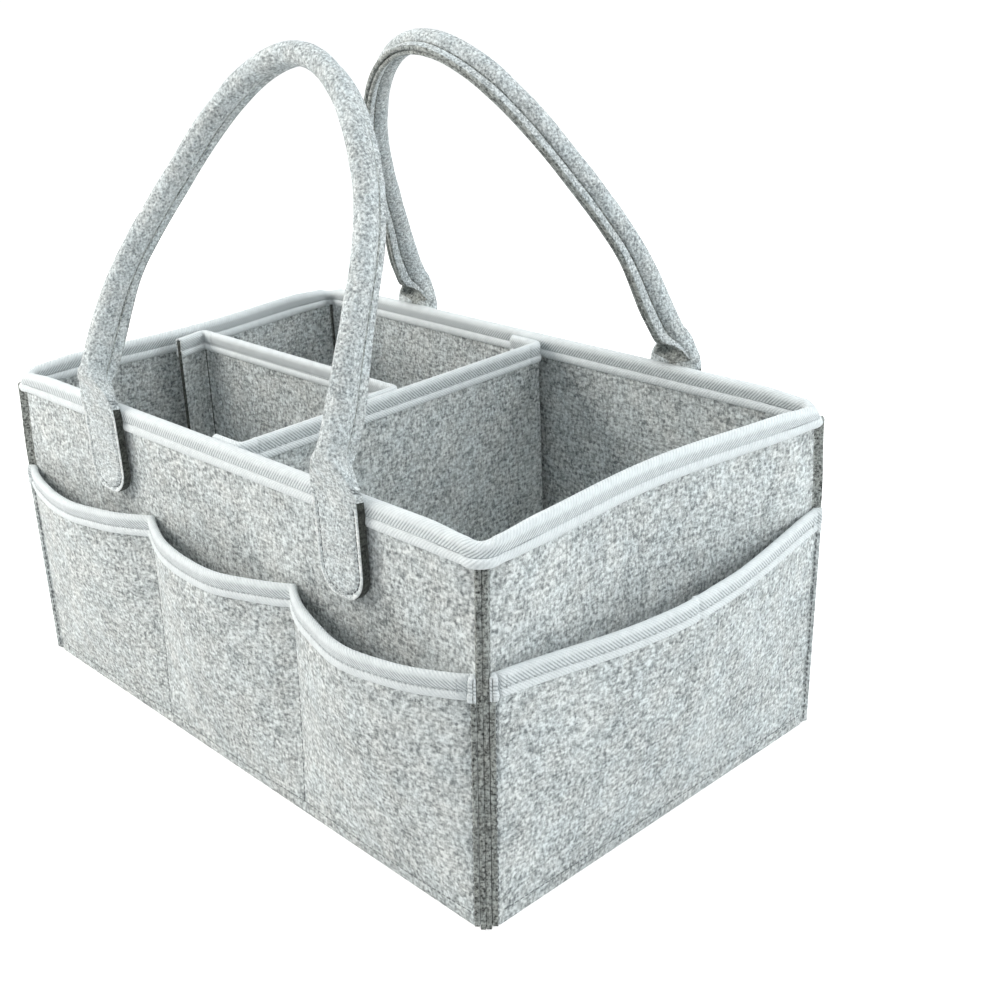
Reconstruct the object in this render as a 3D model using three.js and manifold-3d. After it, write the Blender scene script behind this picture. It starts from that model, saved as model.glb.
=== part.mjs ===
// A soft felt caddy for nappies and bottles: an open box of felt sheets with outside pockets,
// two rolled handles and two dividers that lift out. Sizes are in millimetres, +Z is up, the
// floor is Z = 0, the front wall faces -Y and the right end wall faces +X.
import * as THREE from 'three';
import { mergeVertices, toCreasedNormals } from 'three/addons/utils/BufferGeometryUtils.js';
import Module from 'manifold-3d';

const wasm = await Module();
wasm.setup();

// The box of felt sheets
const BODY_LENGTH = 382;
const BODY_WIDTH = 226;
const RIM_HEIGHT = 180;
const FELT = 2.5;
const SEAT_GAP = 0.3;
const BASE_LIFT = 5;
const BASE_CORNER = 4;
const SEAM_ALLOWANCE = 2;
const END_LEAN = 8;

// The twill tape that binds every open edge
const TAPE = 0.7;
const TAPE_WIDTH = 11.5;
const RIM_CORNER = 10;

// The outside pockets
const POCKET_HEIGHT = 124;
const POCKETS_ALONG = 3;
const POCKETS_ACROSS = 1;
const LONG_BULGE = 15;
const END_BULGE = 15;
const LONG_FULLNESS = 0.85;
const END_FULLNESS = 1.3;

// The rolled handles
const HANDLE_SPAN = 206;
const FRONT_SHIFT = 5;
const HANDLE_RISE = 187;
const ARCH_SHOULDER = 98;
const ARCH_CROWN = 52;
const HANDLE_LEAN = THREE.MathUtils.degToRad(24);
const INWARD_LIMIT = THREE.MathUtils.degToRad(34);
const TUBE_RADIUS = 5.7;
const SEAM_FLANGE = 4.5;
const FLARE_LENGTH = 18;
const FOLD_ABOVE_RIM = 2;
const CORE_CLEARANCE = 0.5;

// The tabs that sew the handles to the long walls
const TAB_WIDTH = 30;
const TAB_ABOVE_POCKET = 7;
const TAB_CORNER = 14;

// The dividers
const CROSS_X = 10.5;
const CROSS_SLANT = 7;
const LONG_Y = 0;
const DIVIDER_DROP = 1;
const DIVIDER_FLANGE = 22;
const DIVIDER_BEND = 2;
const HOOK_THICKNESS = 1.5;
const HOOK_WIDTH = 12;
const HOOK_HEIGHT = 110;
const HOOK_CORNER = 2;

// Fineness of the curves
const ARC_STEPS = 4;
const BULGE_STEPS = 10;
const LEAN_STEPS = 12;
const RISE_STEPS = 5;
const FOLD_STEPS = 4;
const ARCH_STEPS = 24;
const FLARE_STEPS = 6;
const ROUND_STEPS = 12;
const FLAT_SQUARENESS = 5;
const ROUND_SQUARENESS = 2;

// Sizes that follow from the ones above
const TAPE_STANDOFF = TAPE + SEAT_GAP;
const PASSING_GAP = TAPE_STANDOFF + SEAT_GAP;
const FOLD_OUTER = FELT / 2 + SEAT_GAP + TAPE;
const FOLD_INNER = FELT / 2 + SEAT_GAP;
const SEAM_BEND = PASSING_GAP + FELT + SEAT_GAP;
const BASE_TOP = BASE_LIFT + FELT;
const WALL_TOP = RIM_HEIGHT - FOLD_OUTER;
const POCKET_TOP = POCKET_HEIGHT - FOLD_OUTER;
const TAB_THICKNESS = 2 * FELT + SEAT_GAP;
const TAB_FACE = TAPE_STANDOFF + SEAT_GAP + TAB_THICKNESS;
const FOLD_HEIGHT = RIM_HEIGHT + FOLD_ABOVE_RIM;
const TAB_LOW = POCKET_HEIGHT + TAB_ABOVE_POCKET;
const CORE_RADIUS = TUBE_RADIUS - FELT - CORE_CLEARANCE;
const HOOK_SEAT = PASSING_GAP + HOOK_THICKNESS + SEAT_GAP;
const DIVIDER_TOP = RIM_HEIGHT - DIVIDER_DROP;

const FELT_GREY = 0xb9b9b6;
const FELT_LIGHT = 0xc4c5c4;
const TAPE_WHITE = 0xe4e5e3;
const CORE_GREY = 0xd8d5cc;
const HOOK_GREY = 0xcfd2d4;

const group = new THREE.Group();

function felt(color = FELT_GREY) {
  return new THREE.MeshStandardMaterial({ color, roughness: 0.95, metalness: 0 });
}

function tape() {
  return new THREE.MeshStandardMaterial({ color: TAPE_WHITE, roughness: 0.8, metalness: 0 });
}

function add(name, geometry, material) {
  const mesh = new THREE.Mesh(toCreasedNormals(geometry, Math.PI / 5), material);
  mesh.name = name;
  group.add(mesh);
}

// Signed area of a flat loop, positive when it runs anticlockwise.
function loopArea(loop) {
  return THREE.ShapeUtils.area(loop);
}

// The triangles that close one end of a loft, wound along its loop.
function capFaces(ring) {
  const flat = ring.map((corner) => corner.flat);
  const turn = Math.sign(loopArea(flat));
  const faces = THREE.ShapeUtils.triangulateShape(flat, []);
  return faces.map(([a, b, c]) => {
    const along = Math.sign(loopArea([flat[a], flat[b], flat[c]])) === turn;
    return along ? [a, b, c] : [a, c, b];
  });
}

// Six times the volume that a triangle spans with the origin.
function spannedVolume(a, b, c) {
  return a.dot(new THREE.Vector3().crossVectors(b, c));
}

// A closed solid skinned over rings of the same point order. Each ring corner has its place in
// space and its place in the flat section. A looped loft joins its last ring to its first.
function loft(rings, looped = false) {
  const size = rings[0].length;
  const points = rings.flat().map((corner) => corner.place);
  const faces = [];
  const spans = looped ? rings.length : rings.length - 1;
  for (let i = 0; i < spans; i += 1) {
    const here = i * size;
    const next = ((i + 1) % rings.length) * size;
    for (let j = 0; j < size; j += 1) {
      const k = (j + 1) % size;
      faces.push([here + j, next + j, next + k]);
      faces.push([here + j, next + k, here + k]);
    }
  }
  if (!looped) {
    const last = (rings.length - 1) * size;
    capFaces(rings[0]).forEach(([a, b, c]) => faces.push([a, b, c]));
    capFaces(rings.at(-1)).forEach(([a, b, c]) => faces.push([last + a, last + c, last + b]));
  }
  let volume = 0;
  faces.forEach(([a, b, c]) => {
    volume += spannedVolume(points[a], points[b], points[c]);
  });
  const outward = volume > 0 ? faces : faces.map(([a, b, c]) => [a, c, b]);
  const geometry = new THREE.BufferGeometry().setFromPoints(points);
  geometry.setIndex(outward.flat());
  return geometry;
}

function solid(geometry) {
  const bare = geometry.clone();
  bare.deleteAttribute('normal');
  bare.deleteAttribute('uv');
  const merged = mergeVertices(bare);
  const mesh = new wasm.Mesh({
    numProp: 3,
    vertProperties: new Float32Array(merged.attributes.position.array),
    triVerts: new Uint32Array(merged.index.array),
  });
  return new wasm.Manifold(mesh);
}

function fromSolid(body) {
  const mesh = body.getMesh();
  const geometry = new THREE.BufferGeometry();
  geometry.setAttribute('position', new THREE.BufferAttribute(mesh.vertProperties, 3));
  geometry.setIndex(new THREE.BufferAttribute(mesh.triVerts, 1));
  return geometry;
}

function roundedRectangle(length, width, radius) {
  const x = length / 2;
  const y = width / 2;
  const shape = new THREE.Shape();
  shape.moveTo(radius - x, -y);
  shape.lineTo(x - radius, -y);
  shape.absarc(x - radius, radius - y, radius, -Math.PI / 2, 0);
  shape.lineTo(x, y - radius);
  shape.absarc(x - radius, y - radius, radius, 0, Math.PI / 2);
  shape.lineTo(radius - x, y);
  shape.absarc(radius - x, y - radius, radius, Math.PI / 2, Math.PI);
  shape.lineTo(-x, radius - y);
  shape.absarc(radius - x, radius - y, radius, Math.PI, 1.5 * Math.PI);
  return shape;
}

function slab(shape, depth, low = 0) {
  const geometry = new THREE.ExtrudeGeometry(shape, {
    depth,
    curveSegments: ARC_STEPS,
    bevelEnabled: false,
  });
  return geometry.translate(0, 0, low);
}

// Evenly spaced values from one end to the other, both ends included.
function spread(from, to, steps) {
  return Array.from({ length: steps + 1 }, (_, i) => from + ((to - from) * i) / steps);
}

// A place on a line seen from above and the side of it that faces out.
function station(along, out, angle) {
  const side = new THREE.Vector2(Math.cos(angle), Math.sin(angle));
  return { along, out, side };
}

function shifted(at, offset) {
  return new THREE.Vector2(at.along + at.side.x * offset, at.out + at.side.y * offset);
}

// Where a wall's outer face starts to turn out into its corner seam.
function seamTurn(length) {
  const foldLine = Math.SQRT2 * (SEAT_GAP / 2 + FELT);
  return length / 2 - foldLine - SEAM_BEND * Math.tan(Math.PI / 8);
}

// Stations along a wall's outer face, seen from above with the outside up: from one raw edge of
// the corner seams, along the wall and out to the other raw edge.
function wallLine(length, stops) {
  const turn = seamTurn(length);
  const corner = length / 2;
  const face = SEAT_GAP / 2 + FELT;
  const bend = spread(0, Math.PI / 4, ARC_STEPS).map((swing) => {
    const along = turn + SEAM_BEND * Math.sin(swing);
    const out = SEAM_BEND * (1 - Math.cos(swing));
    return station(along, out, Math.PI / 2 + swing);
  });
  const reach = SEAM_ALLOWANCE / Math.SQRT2;
  const back = face / Math.SQRT2;
  const edge = station(corner + reach - back, reach + back, 0.75 * Math.PI);
  const right = [...bend, edge];
  const left = right.map((at) => {
    const mirrored = station(-at.along, at.out, 0);
    mirrored.side.set(-at.side.x, at.side.y);
    return mirrored;
  });
  const middle = stops.filter((along) => Math.abs(along) < turn - SEAT_GAP);
  return [...left.reverse(), ...middle.map((along) => station(along, 0, Math.PI / 2)), ...right];
}

// A felt sheet standing on edge along stations. The inner face lies at an offset that may change
// along the sheet and up it, and the top edge may change along it.
function standingSheet(stations, levels, offset, topAt, low = 0) {
  const rings = stations.map((at) => {
    const top = topAt(at);
    const heights = levels.map((share) => low + share * (top - low));
    const face = (z, depth) => {
      const flat = shifted(at, offset(at, z) + depth);
      const place = new THREE.Vector3(flat.x, flat.y, z);
      return { place, flat: new THREE.Vector2(depth, z) };
    };
    const inner = heights.map((z) => face(z, 0));
    const outer = heights.map((z) => face(z, FELT)).reverse();
    return [...inner, ...outer];
  });
  return loft(rings);
}

// The section of a tape folded over a felt edge, its fold at the given top.
function tapeSection(top) {
  const spring = top - FOLD_OUTER;
  const low = top - TAPE_WIDTH;
  const arc = (radius, from, to) => spread(from, to, FOLD_STEPS).map((turn) => {
    return new THREE.Vector2(radius * Math.cos(turn), spring + radius * Math.sin(turn));
  });
  return [
    new THREE.Vector2(FOLD_INNER, low),
    new THREE.Vector2(FOLD_OUTER, low),
    ...arc(FOLD_OUTER, 0, Math.PI),
    new THREE.Vector2(-FOLD_OUTER, low),
    new THREE.Vector2(-FOLD_INNER, low),
    ...arc(FOLD_INNER, Math.PI, 0),
  ];
}

// Tape folded over the top edge of a standing sheet whose inner face lies at an offset.
function bindingTape(stations, top, offset, looped = false) {
  const section = tapeSection(top);
  const rings = stations.map((at) => section.map((corner) => {
    const flat = shifted(at, offset(at, corner.y) + FELT / 2 + corner.x);
    return { place: new THREE.Vector3(flat.x, flat.y, corner.y), flat: corner };
  }));
  return loft(rings, looped);
}

// The four sides of the box: how far each turns about Z and where its outer face stands.
const SIDES = {
  back: { turn: 0, length: BODY_LENGTH, reach: BODY_WIDTH / 2, lean: 0 },
  front: { turn: Math.PI, length: BODY_LENGTH, reach: BODY_WIDTH / 2, lean: 0 },
  left_end: { turn: Math.PI / 2, length: BODY_WIDTH, reach: BODY_LENGTH / 2, lean: END_LEAN },
  right_end: { turn: -Math.PI / 2, length: BODY_WIDTH, reach: BODY_LENGTH / 2, lean: END_LEAN },
};

function placeOnSide(geometry, side) {
  return geometry.translate(0, side.reach, 0).rotateZ(side.turn);
}

// How far a side sags inward between its corners. The end walls have nothing stiff behind their
// middles, so above the base they lean in more and more towards the rim.
function sag(side, along, z) {
  const straight = side.length / 2 - RIM_CORNER;
  const inside = Math.abs(along) < straight;
  const share = inside ? Math.cos((along / straight) * (Math.PI / 2)) ** 2 : 0;
  const rise = Math.max((z - BASE_TOP) / (RIM_HEIGHT - BASE_TOP), 0);
  return -side.lean * share * rise;
}

// Base: a felt pan whose edge is turned down to the floor inside the walls
const baseLength = BODY_LENGTH - 2 * (FELT + SEAT_GAP);
const baseWidth = BODY_WIDTH - 2 * (FELT + SEAT_GAP);
const basePlate = solid(slab(roundedRectangle(baseLength, baseWidth, BASE_CORNER), BASE_TOP));
const hollowLength = baseLength - 2 * FELT;
const hollowWidth = baseWidth - 2 * FELT;
const hollowCorner = Math.max(BASE_CORNER - FELT, SEAT_GAP);
const hollow = roundedRectangle(hollowLength, hollowWidth, hollowCorner);
const baseHollow = solid(slab(hollow, BASE_LIFT + SEAT_GAP, -SEAT_GAP));
add('base_panel', fromSolid(basePlate.subtract(baseHollow)), felt());

// Walls: the top edge steps down at the corners, where the tape rounds them without the felt
Object.entries(SIDES).forEach(([name, side]) => {
  const straight = side.length / 2 - RIM_CORNER;
  const stops = [
    ...spread(-straight, straight, side.lean ? LEAN_STEPS : 2),
    -straight - SEAT_GAP,
    straight + SEAT_GAP,
  ].sort((a, b) => a - b);
  const line = wallLine(side.length, stops);
  const cornerTop = RIM_HEIGHT - TAPE_WIDTH - SEAT_GAP;
  const felted = straight + SEAT_GAP / 2;
  const topAt = (at) => (Math.abs(at.along) < felted ? WALL_TOP : cornerTop);
  const offset = (at, z) => sag(side, at.along, z) - FELT;
  const sheet = standingSheet(line, [0, BASE_TOP / WALL_TOP, 1], offset, topAt);
  add(`${name}_wall`, placeOnSide(sheet, side), felt());
});

// Rim binding: one tape round all four top edges, with rounded corners
function rimStations() {
  const stations = [];
  const order = ['back', 'left_end', 'front', 'right_end'];
  order.forEach((name) => {
    const side = SIDES[name];
    const straight = side.length / 2 - RIM_CORNER;
    const centre = new THREE.Vector2();
    const push = (along, out, angle) => {
      const place = new THREE.Vector2(along, side.reach + out).rotateAround(centre, side.turn);
      const at = station(place.x, place.y, angle + side.turn);
      stations.push({ ...at, wall: side, run: along });
    };
    const run = spread(straight, -straight, side.lean ? LEAN_STEPS : 2);
    run.forEach((along) => push(along, 0, Math.PI / 2));
    spread(0, Math.PI / 2, ARC_STEPS + 1).slice(1, -1).forEach((swing) => {
      const along = -straight - RIM_CORNER * Math.sin(swing);
      push(along, RIM_CORNER * (Math.cos(swing) - 1), Math.PI / 2 + swing);
    });
  });
  return stations;
}

const rimOffset = (at, z) => sag(at.wall, at.run, z) - FELT;
add('rim_binding', bindingTape(rimStations(), RIM_HEIGHT, rimOffset, true), tape());

// Pockets: one sheet per side, sewn down between the pockets and standing out inside each mouth
function pocketBulge(along, z, width, count, bulge, fullness) {
  const share = THREE.MathUtils.clamp(along / width + 0.5, 0, 1) * count;
  const wave = Math.abs(Math.sin(share * Math.PI)) ** fullness;
  const rise = Math.sin(Math.min(z / POCKET_HEIGHT, 1) * (Math.PI / 2));
  return bulge * wave * rise;
}

function addPockets(name, count, bulge, fullness) {
  const side = SIDES[name];
  const width = 2 * seamTurn(side.length);
  const steps = count * BULGE_STEPS;
  const stops = spread(-width / 2, width / 2, steps);
  const offset = (at, z) => {
    const share = Math.min(z / (POCKET_HEIGHT - TAPE_WIDTH), 1);
    const seat = THREE.MathUtils.lerp(SEAT_GAP, PASSING_GAP, share);
    return seat + pocketBulge(at.along, z, width, count, bulge, fullness);
  };
  const levels = spread(0, 1, RISE_STEPS);
  const line = wallLine(side.length, stops);
  const sheet = standingSheet(line, levels, offset, () => POCKET_TOP);
  add(`${name}_pocket_panel`, placeOnSide(sheet, side), felt(FELT_LIGHT));
  const edge = stops.map((along) => station(along, 0, Math.PI / 2));
  const binding = bindingTape(edge, POCKET_HEIGHT, offset);
  add(`${name}_pocket_binding`, placeOnSide(binding, side), tape());
}

addPockets('front', POCKETS_ALONG, LONG_BULGE, LONG_FULLNESS);
addPockets('back', POCKETS_ALONG, LONG_BULGE, LONG_FULLNESS);
addPockets('left_end', POCKETS_ACROSS, END_BULGE, END_FULLNESS);
addPockets('right_end', POCKETS_ACROSS, END_BULGE, END_FULLNESS);

// Handle arch in its own leaning plane: two matching curves that meet at the crown
function archPlaces() {
  const foot = HANDLE_SPAN / 2;
  const left = new THREE.CubicBezierCurve(
    new THREE.Vector2(-foot, 0),
    new THREE.Vector2(-foot, ARCH_SHOULDER),
    new THREE.Vector2(-ARCH_CROWN, HANDLE_RISE),
    new THREE.Vector2(0, HANDLE_RISE),
  );
  const right = new THREE.CubicBezierCurve(
    new THREE.Vector2(0, HANDLE_RISE),
    new THREE.Vector2(ARCH_CROWN, HANDLE_RISE),
    new THREE.Vector2(foot, ARCH_SHOULDER),
    new THREE.Vector2(foot, 0),
  );
  const arch = new THREE.CurvePath();
  arch.add(left);
  arch.add(right);
  const length = arch.getLength();
  const flare = FLARE_LENGTH / length;
  const start = SEAT_GAP / length;
  const rising = spread(start, flare, FLARE_STEPS);
  const over = spread(flare, 1 - flare, ARCH_STEPS).slice(1, -1);
  const falling = spread(1 - flare, 1 - start, FLARE_STEPS);
  return [...rising, ...over, ...falling].map((share) => {
    const distance = length * Math.min(share, 1 - share);
    const roll = THREE.MathUtils.smoothstep(distance, 0, FLARE_LENGTH);
    return { point: arch.getPointAt(share), tangent: arch.getTangentAt(share), roll };
  });
}

// A point on a rounded oval whose squareness runs from a circle to a flat strip.
function ovalPoint(halfWidth, halfDepth, squareness, angle) {
  const power = (value) => Math.sign(value) * Math.abs(value) ** (2 / squareness);
  return new THREE.Vector2(halfWidth * power(Math.cos(angle)), halfDepth * power(Math.sin(angle)));
}

// The section of the felt strip: flat and doubled at the tabs, rolled into a tube above them, its
// two long edges turned out side by side in the seam flange.
function sleeveSection(roll) {
  const mix = THREE.MathUtils.lerp;
  const halfWidth = mix(TAB_WIDTH / 2, TUBE_RADIUS, roll);
  const halfDepth = mix(TAB_THICKNESS / 2, TUBE_RADIUS, roll);
  const squareness = mix(FLAT_SQUARENESS, ROUND_SQUARENESS, roll);
  const tip = -halfDepth - mix(SEAT_GAP, SEAM_FLANGE, roll);
  const slit = SEAT_GAP / 2;
  const root = slit + FELT;
  const start = Math.asin((root / halfWidth) ** (squareness / 2)) - Math.PI / 2;
  const end = Math.PI - start;
  const bore = spread(-Math.PI / 2, 1.5 * Math.PI, ROUND_STEPS).slice(1, -1).map((angle) => {
    return ovalPoint(halfWidth - FELT, halfDepth - FELT, squareness, angle);
  });
  const skin = spread(end, start, ROUND_STEPS).map((angle) => {
    return ovalPoint(halfWidth, halfDepth, squareness, angle);
  });
  return [
    new THREE.Vector2(slit, FELT - halfDepth),
    ...bore,
    new THREE.Vector2(-slit, FELT - halfDepth),
    new THREE.Vector2(-slit, tip),
    new THREE.Vector2(-root, tip),
    ...skin,
    new THREE.Vector2(root, tip),
    new THREE.Vector2(slit, tip),
  ];
}

function coreSection() {
  const turns = spread(0, 2 * Math.PI, ROUND_STEPS).slice(1);
  return turns.map((angle) => ovalPoint(CORE_RADIUS, CORE_RADIUS, ROUND_SQUARENESS, angle));
}

// Rings of a section along the arch, in the frame of a long wall: the plane leans inward about
// the fold at the outer face of the tabs.
function archRings(places, sectionAt) {
  const rise = new THREE.Vector3(0, -Math.sin(HANDLE_LEAN), Math.cos(HANDLE_LEAN));
  const outward = new THREE.Vector3(0, Math.cos(HANDLE_LEAN), Math.sin(HANDLE_LEAN));
  const fold = new THREE.Vector3(0, TAB_FACE, FOLD_HEIGHT);
  fold.addScaledVector(outward, -TAB_THICKNESS / 2);
  return places.map(({ point, tangent, roll }) => sectionAt(roll).map((flat) => {
    const along = point.x + tangent.y * flat.x;
    const up = point.y - tangent.x * flat.x;
    const place = fold.clone().addScaledVector(rise, up).addScaledVector(outward, flat.y);
    place.x += along;
    return { place, flat };
  }));
}

function tabPlate() {
  const half = TAB_WIDTH / 2;
  const corner = Math.min(TAB_CORNER, half);
  const outline = new THREE.Shape();
  outline.moveTo(half, FOLD_HEIGHT);
  outline.lineTo(-half, FOLD_HEIGHT);
  outline.lineTo(-half, TAB_LOW + corner);
  outline.absarc(corner - half, TAB_LOW + corner, corner, Math.PI, 1.5 * Math.PI);
  outline.lineTo(half - corner, TAB_LOW);
  outline.absarc(half - corner, TAB_LOW + corner, corner, 1.5 * Math.PI, 2 * Math.PI);
  const plate = new THREE.ExtrudeGeometry(outline, {
    depth: TAB_THICKNESS,
    curveSegments: 2 * ARC_STEPS,
    bevelEnabled: false,
  });
  plate.rotateX(Math.PI / 2);
  plate.translate(0, TAB_FACE, 0);
  const bite = 2 * TAB_THICKNESS;
  const wedge = new THREE.BoxGeometry(TAB_WIDTH + bite, 2 * bite, bite);
  wedge.translate(0, 0, bite / 2);
  wedge.rotateX(INWARD_LIMIT);
  wedge.translate(0, TAB_FACE, FOLD_HEIGHT);
  return fromSolid(solid(plate).subtract(solid(wedge)));
}

// The front handle is sewn on a little right of the middle, the back one in the middle.
const archStops = archPlaces();
const roundStops = archStops.filter(({ roll }) => roll === 1);
Object.entries({ front: FRONT_SHIFT, back: 0 }).forEach(([name, shift]) => {
  const side = SIDES[name];
  const sewn = (geometry) => placeOnSide(geometry, side).translate(shift, 0, 0);
  const sleeve = loft(archRings(archStops, sleeveSection));
  add(`${name}_handle_sleeve`, sewn(sleeve), felt(FELT_LIGHT));
  const core = loft(archRings(roundStops, coreSection));
  const filler = new THREE.MeshStandardMaterial({
    color: CORE_GREY,
    roughness: 0.9,
    metalness: 0,
  });
  add(`${name}_handle_core`, sewn(core), filler);
  const feet = { right: HANDLE_SPAN / 2, left: -HANDLE_SPAN / 2 };
  Object.entries(feet).forEach(([hand, x]) => {
    const along = x * Math.cos(side.turn);
    const plate = tabPlate().translate(along, 0, 0);
    add(`${name}_${hand}_tab`, sewn(plate), felt(FELT_LIGHT));
  });
});

// Dividers: stations along the convex face, from one flange's edge along the web to the other's
function dividerLine(width) {
  const bend = DIVIDER_BEND + FELT;
  const web = width / 2 - bend;
  const arc = spread(0, Math.PI / 2, ARC_STEPS).map((swing) => {
    const along = web + bend * Math.sin(swing);
    return station(along, bend * (Math.cos(swing) - 1), Math.PI / 2 - swing);
  });
  const right = [...arc, station(width / 2, -DIVIDER_FLANGE, 0)];
  const left = right.map((at) => {
    const mirrored = station(-at.along, at.out, 0);
    mirrored.side.set(-at.side.x, at.side.y);
    return mirrored;
  });
  return [...left.reverse(), ...right];
}

function hookStrip() {
  const outline = roundedRectangle(HOOK_WIDTH, HOOK_HEIGHT, HOOK_CORNER);
  return slab(outline, HOOK_THICKNESS).rotateX(Math.PI / 2).rotateZ(Math.PI / 2);
}

function addDivider(name, width, ends, place) {
  const line = dividerLine(width);
  const low = BASE_TOP + SEAT_GAP;
  const offset = () => -FELT;
  const sheet = standingSheet(line, [0, 1], offset, () => DIVIDER_TOP - FOLD_OUTER, low);
  add(`${name}_divider`, place(sheet), felt(FELT_LIGHT));
  add(`${name}_divider_binding`, place(bindingTape(line, DIVIDER_TOP, offset)), tape());
  const middle = (low + DIVIDER_TOP - TAPE_WIDTH) / 2;
  const inset = -(DIVIDER_FLANGE + DIVIDER_BEND + FELT) / 2;
  ends.forEach((end, i) => {
    const face = width / 2 + SEAT_GAP;
    const along = i === 0 ? -face - HOOK_THICKNESS : face;
    const hooks = new THREE.MeshStandardMaterial({
      color: HOOK_GREY,
      roughness: 0.7,
      metalness: 0,
    });
    add(`${name}_${end}_hooks`, place(hookStrip().translate(along, inset, middle)), hooks);
  });
}

// The cross divider is pressed on a little further right at the front wall than at the back one.
const crossWidth = BODY_WIDTH - 2 * (FELT + HOOK_SEAT);
const slant = new THREE.Matrix4().makeShear(0, 0, -CROSS_SLANT / crossWidth, 0, 0, 0);
addDivider('cross', crossWidth, ['back', 'front'], (geometry) => {
  geometry.rotateZ(-Math.PI / 2).applyMatrix4(slant);
  return geometry.translate(CROSS_X + FELT / 2, 0, 0);
});

const longFrom = FELT + END_LEAN + HOOK_SEAT - BODY_LENGTH / 2;
const longTo = CROSS_X - FELT / 2 - HOOK_SEAT;
addDivider('long', longTo - longFrom, ['left', 'right'], (geometry) => {
  return geometry.translate((longFrom + longTo) / 2, LONG_Y + FELT / 2, 0);
});

export default group;
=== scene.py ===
# %% [markdown]
# # A felt diaper caddy
#
# The caddy is a soft box sewn from thick grey felt, with its raw edges bound in twill tape. It has
# pockets on every side, two rolled carrying handles and two dividers that lift out.
# The solid model gives every size and every joint. In this lesson each felt sheet, tape and seam
# is modelled again as cloth, in the same place, and gets the look of the real material.

# %% Load the solid model as a fixed frame
import math
from collections import namedtuple

import bmesh
import bpy
from mathutils import Matrix, Vector, noise


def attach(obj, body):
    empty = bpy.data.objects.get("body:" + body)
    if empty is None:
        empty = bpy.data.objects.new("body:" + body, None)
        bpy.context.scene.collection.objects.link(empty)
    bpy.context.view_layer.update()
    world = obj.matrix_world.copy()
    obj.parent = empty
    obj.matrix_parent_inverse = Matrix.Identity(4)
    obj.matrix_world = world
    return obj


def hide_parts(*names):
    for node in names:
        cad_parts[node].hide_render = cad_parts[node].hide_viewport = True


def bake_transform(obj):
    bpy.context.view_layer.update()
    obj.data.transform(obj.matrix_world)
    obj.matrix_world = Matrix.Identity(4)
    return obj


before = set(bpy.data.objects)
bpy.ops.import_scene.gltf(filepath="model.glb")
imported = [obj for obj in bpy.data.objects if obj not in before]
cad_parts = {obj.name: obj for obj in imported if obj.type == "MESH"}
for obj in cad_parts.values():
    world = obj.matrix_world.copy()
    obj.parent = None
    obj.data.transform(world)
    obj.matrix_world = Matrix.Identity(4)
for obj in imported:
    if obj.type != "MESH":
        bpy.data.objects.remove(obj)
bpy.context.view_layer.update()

# %% [markdown]
# ## The camera
#
# The photograph was taken from a little above the rim, turned towards the near right corner. The
# place, the tilt and the lens below were found by matching the corners of the box with the
# corners in the picture. A camera looks along its own -Z, so its matrix is built from three
# directions: its right, its up and its back.

# %% Place the camera
mm = 0.001
PHOTO_SIDE = 1000
FOCAL_PIXELS = 1478.565
SENSOR = 36
camera_turn, camera_lift, camera_roll = 0.81033, 0.38987, -0.04123
camera_place = Vector((581.07, -474.40, 416.73)) * mm

back = Vector((math.sin(camera_turn) * math.cos(camera_lift),
               -math.cos(camera_turn) * math.cos(camera_lift),
               math.sin(camera_lift)))
level = Vector((math.cos(camera_turn), math.sin(camera_turn), 0))
upward = back.cross(level)
right = level * math.cos(camera_roll) + upward * math.sin(camera_roll)
top = upward * math.cos(camera_roll) - level * math.sin(camera_roll)

lens = bpy.data.cameras.new("photo_lens")
lens.sensor_width = SENSOR
lens.lens = SENSOR * FOCAL_PIXELS / PHOTO_SIDE
lens.clip_start = 0.05
camera = bpy.data.objects.new("photo_camera", lens)
camera.matrix_world = Matrix((right, top, back)).transposed().to_4x4()
camera.matrix_world.translation = camera_place
bpy.context.scene.collection.objects.link(camera)
bpy.context.scene.camera = camera
print("lens", round(lens.lens, 2), "mm, camera at", tuple(round(c, 3) for c in camera_place))

# %% [markdown]
# ## Sizes of the sewn box
#
# These are the sizes of the solid model, in metres. A caddy is cut from flat felt, so most of
# them describe one sheet, one tape or one seam. Each side of the box is described in its own
# frame: along the wall, out from its outer face, and up. One small function then turns a point of
# a side into the caddy's frame, so that every wall and pocket is drawn the same way.

# %% Name the sizes and the four sides
BODY_LENGTH, BODY_WIDTH, RIM_HEIGHT = 382 * mm, 226 * mm, 180 * mm
FELT, TAPE, SEAT_GAP = 2.5 * mm, 0.7 * mm, 0.3 * mm
BASE_LIFT = 5 * mm
BASE_TOP = BASE_LIFT + FELT
SEAM_ALLOWANCE, SEAM_BEND = 2 * mm, 4.1 * mm
RIM_CORNER, END_LEAN = 10 * mm, 8 * mm
TAPE_WIDTH = 11.5 * mm
FOLD_OUTER = FELT / 2 + SEAT_GAP + TAPE
WALL_TOP = RIM_HEIGHT - FOLD_OUTER

Side = namedtuple("Side", "turn length reach lean")
SIDES = {
    "back": Side(0, BODY_LENGTH, BODY_WIDTH / 2, 0),
    "front": Side(math.pi, BODY_LENGTH, BODY_WIDTH / 2, 0),
    "left_end": Side(math.pi / 2, BODY_WIDTH, BODY_LENGTH / 2, END_LEAN),
    "right_end": Side(-math.pi / 2, BODY_WIDTH, BODY_LENGTH / 2, END_LEAN),
}


def on_side(side, along, out, z):
    """A point along a wall, out from its outer face and up, in the caddy's frame."""
    far = side.reach + out
    cosine, sine = math.cos(side.turn), math.sin(side.turn)
    return Vector((cosine * along - sine * far, sine * along + cosine * far, z))


def mix(start, stop, share):
    return start + (stop - start) * share


def ease(share):
    """Nought to one with a soft start and a soft stop."""
    share = min(max(share, 0), 1)
    return share * share * (3 - 2 * share)


def spread(start, stop, steps):
    return [mix(start, stop, i / steps) for i in range(steps + 1)]


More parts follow.
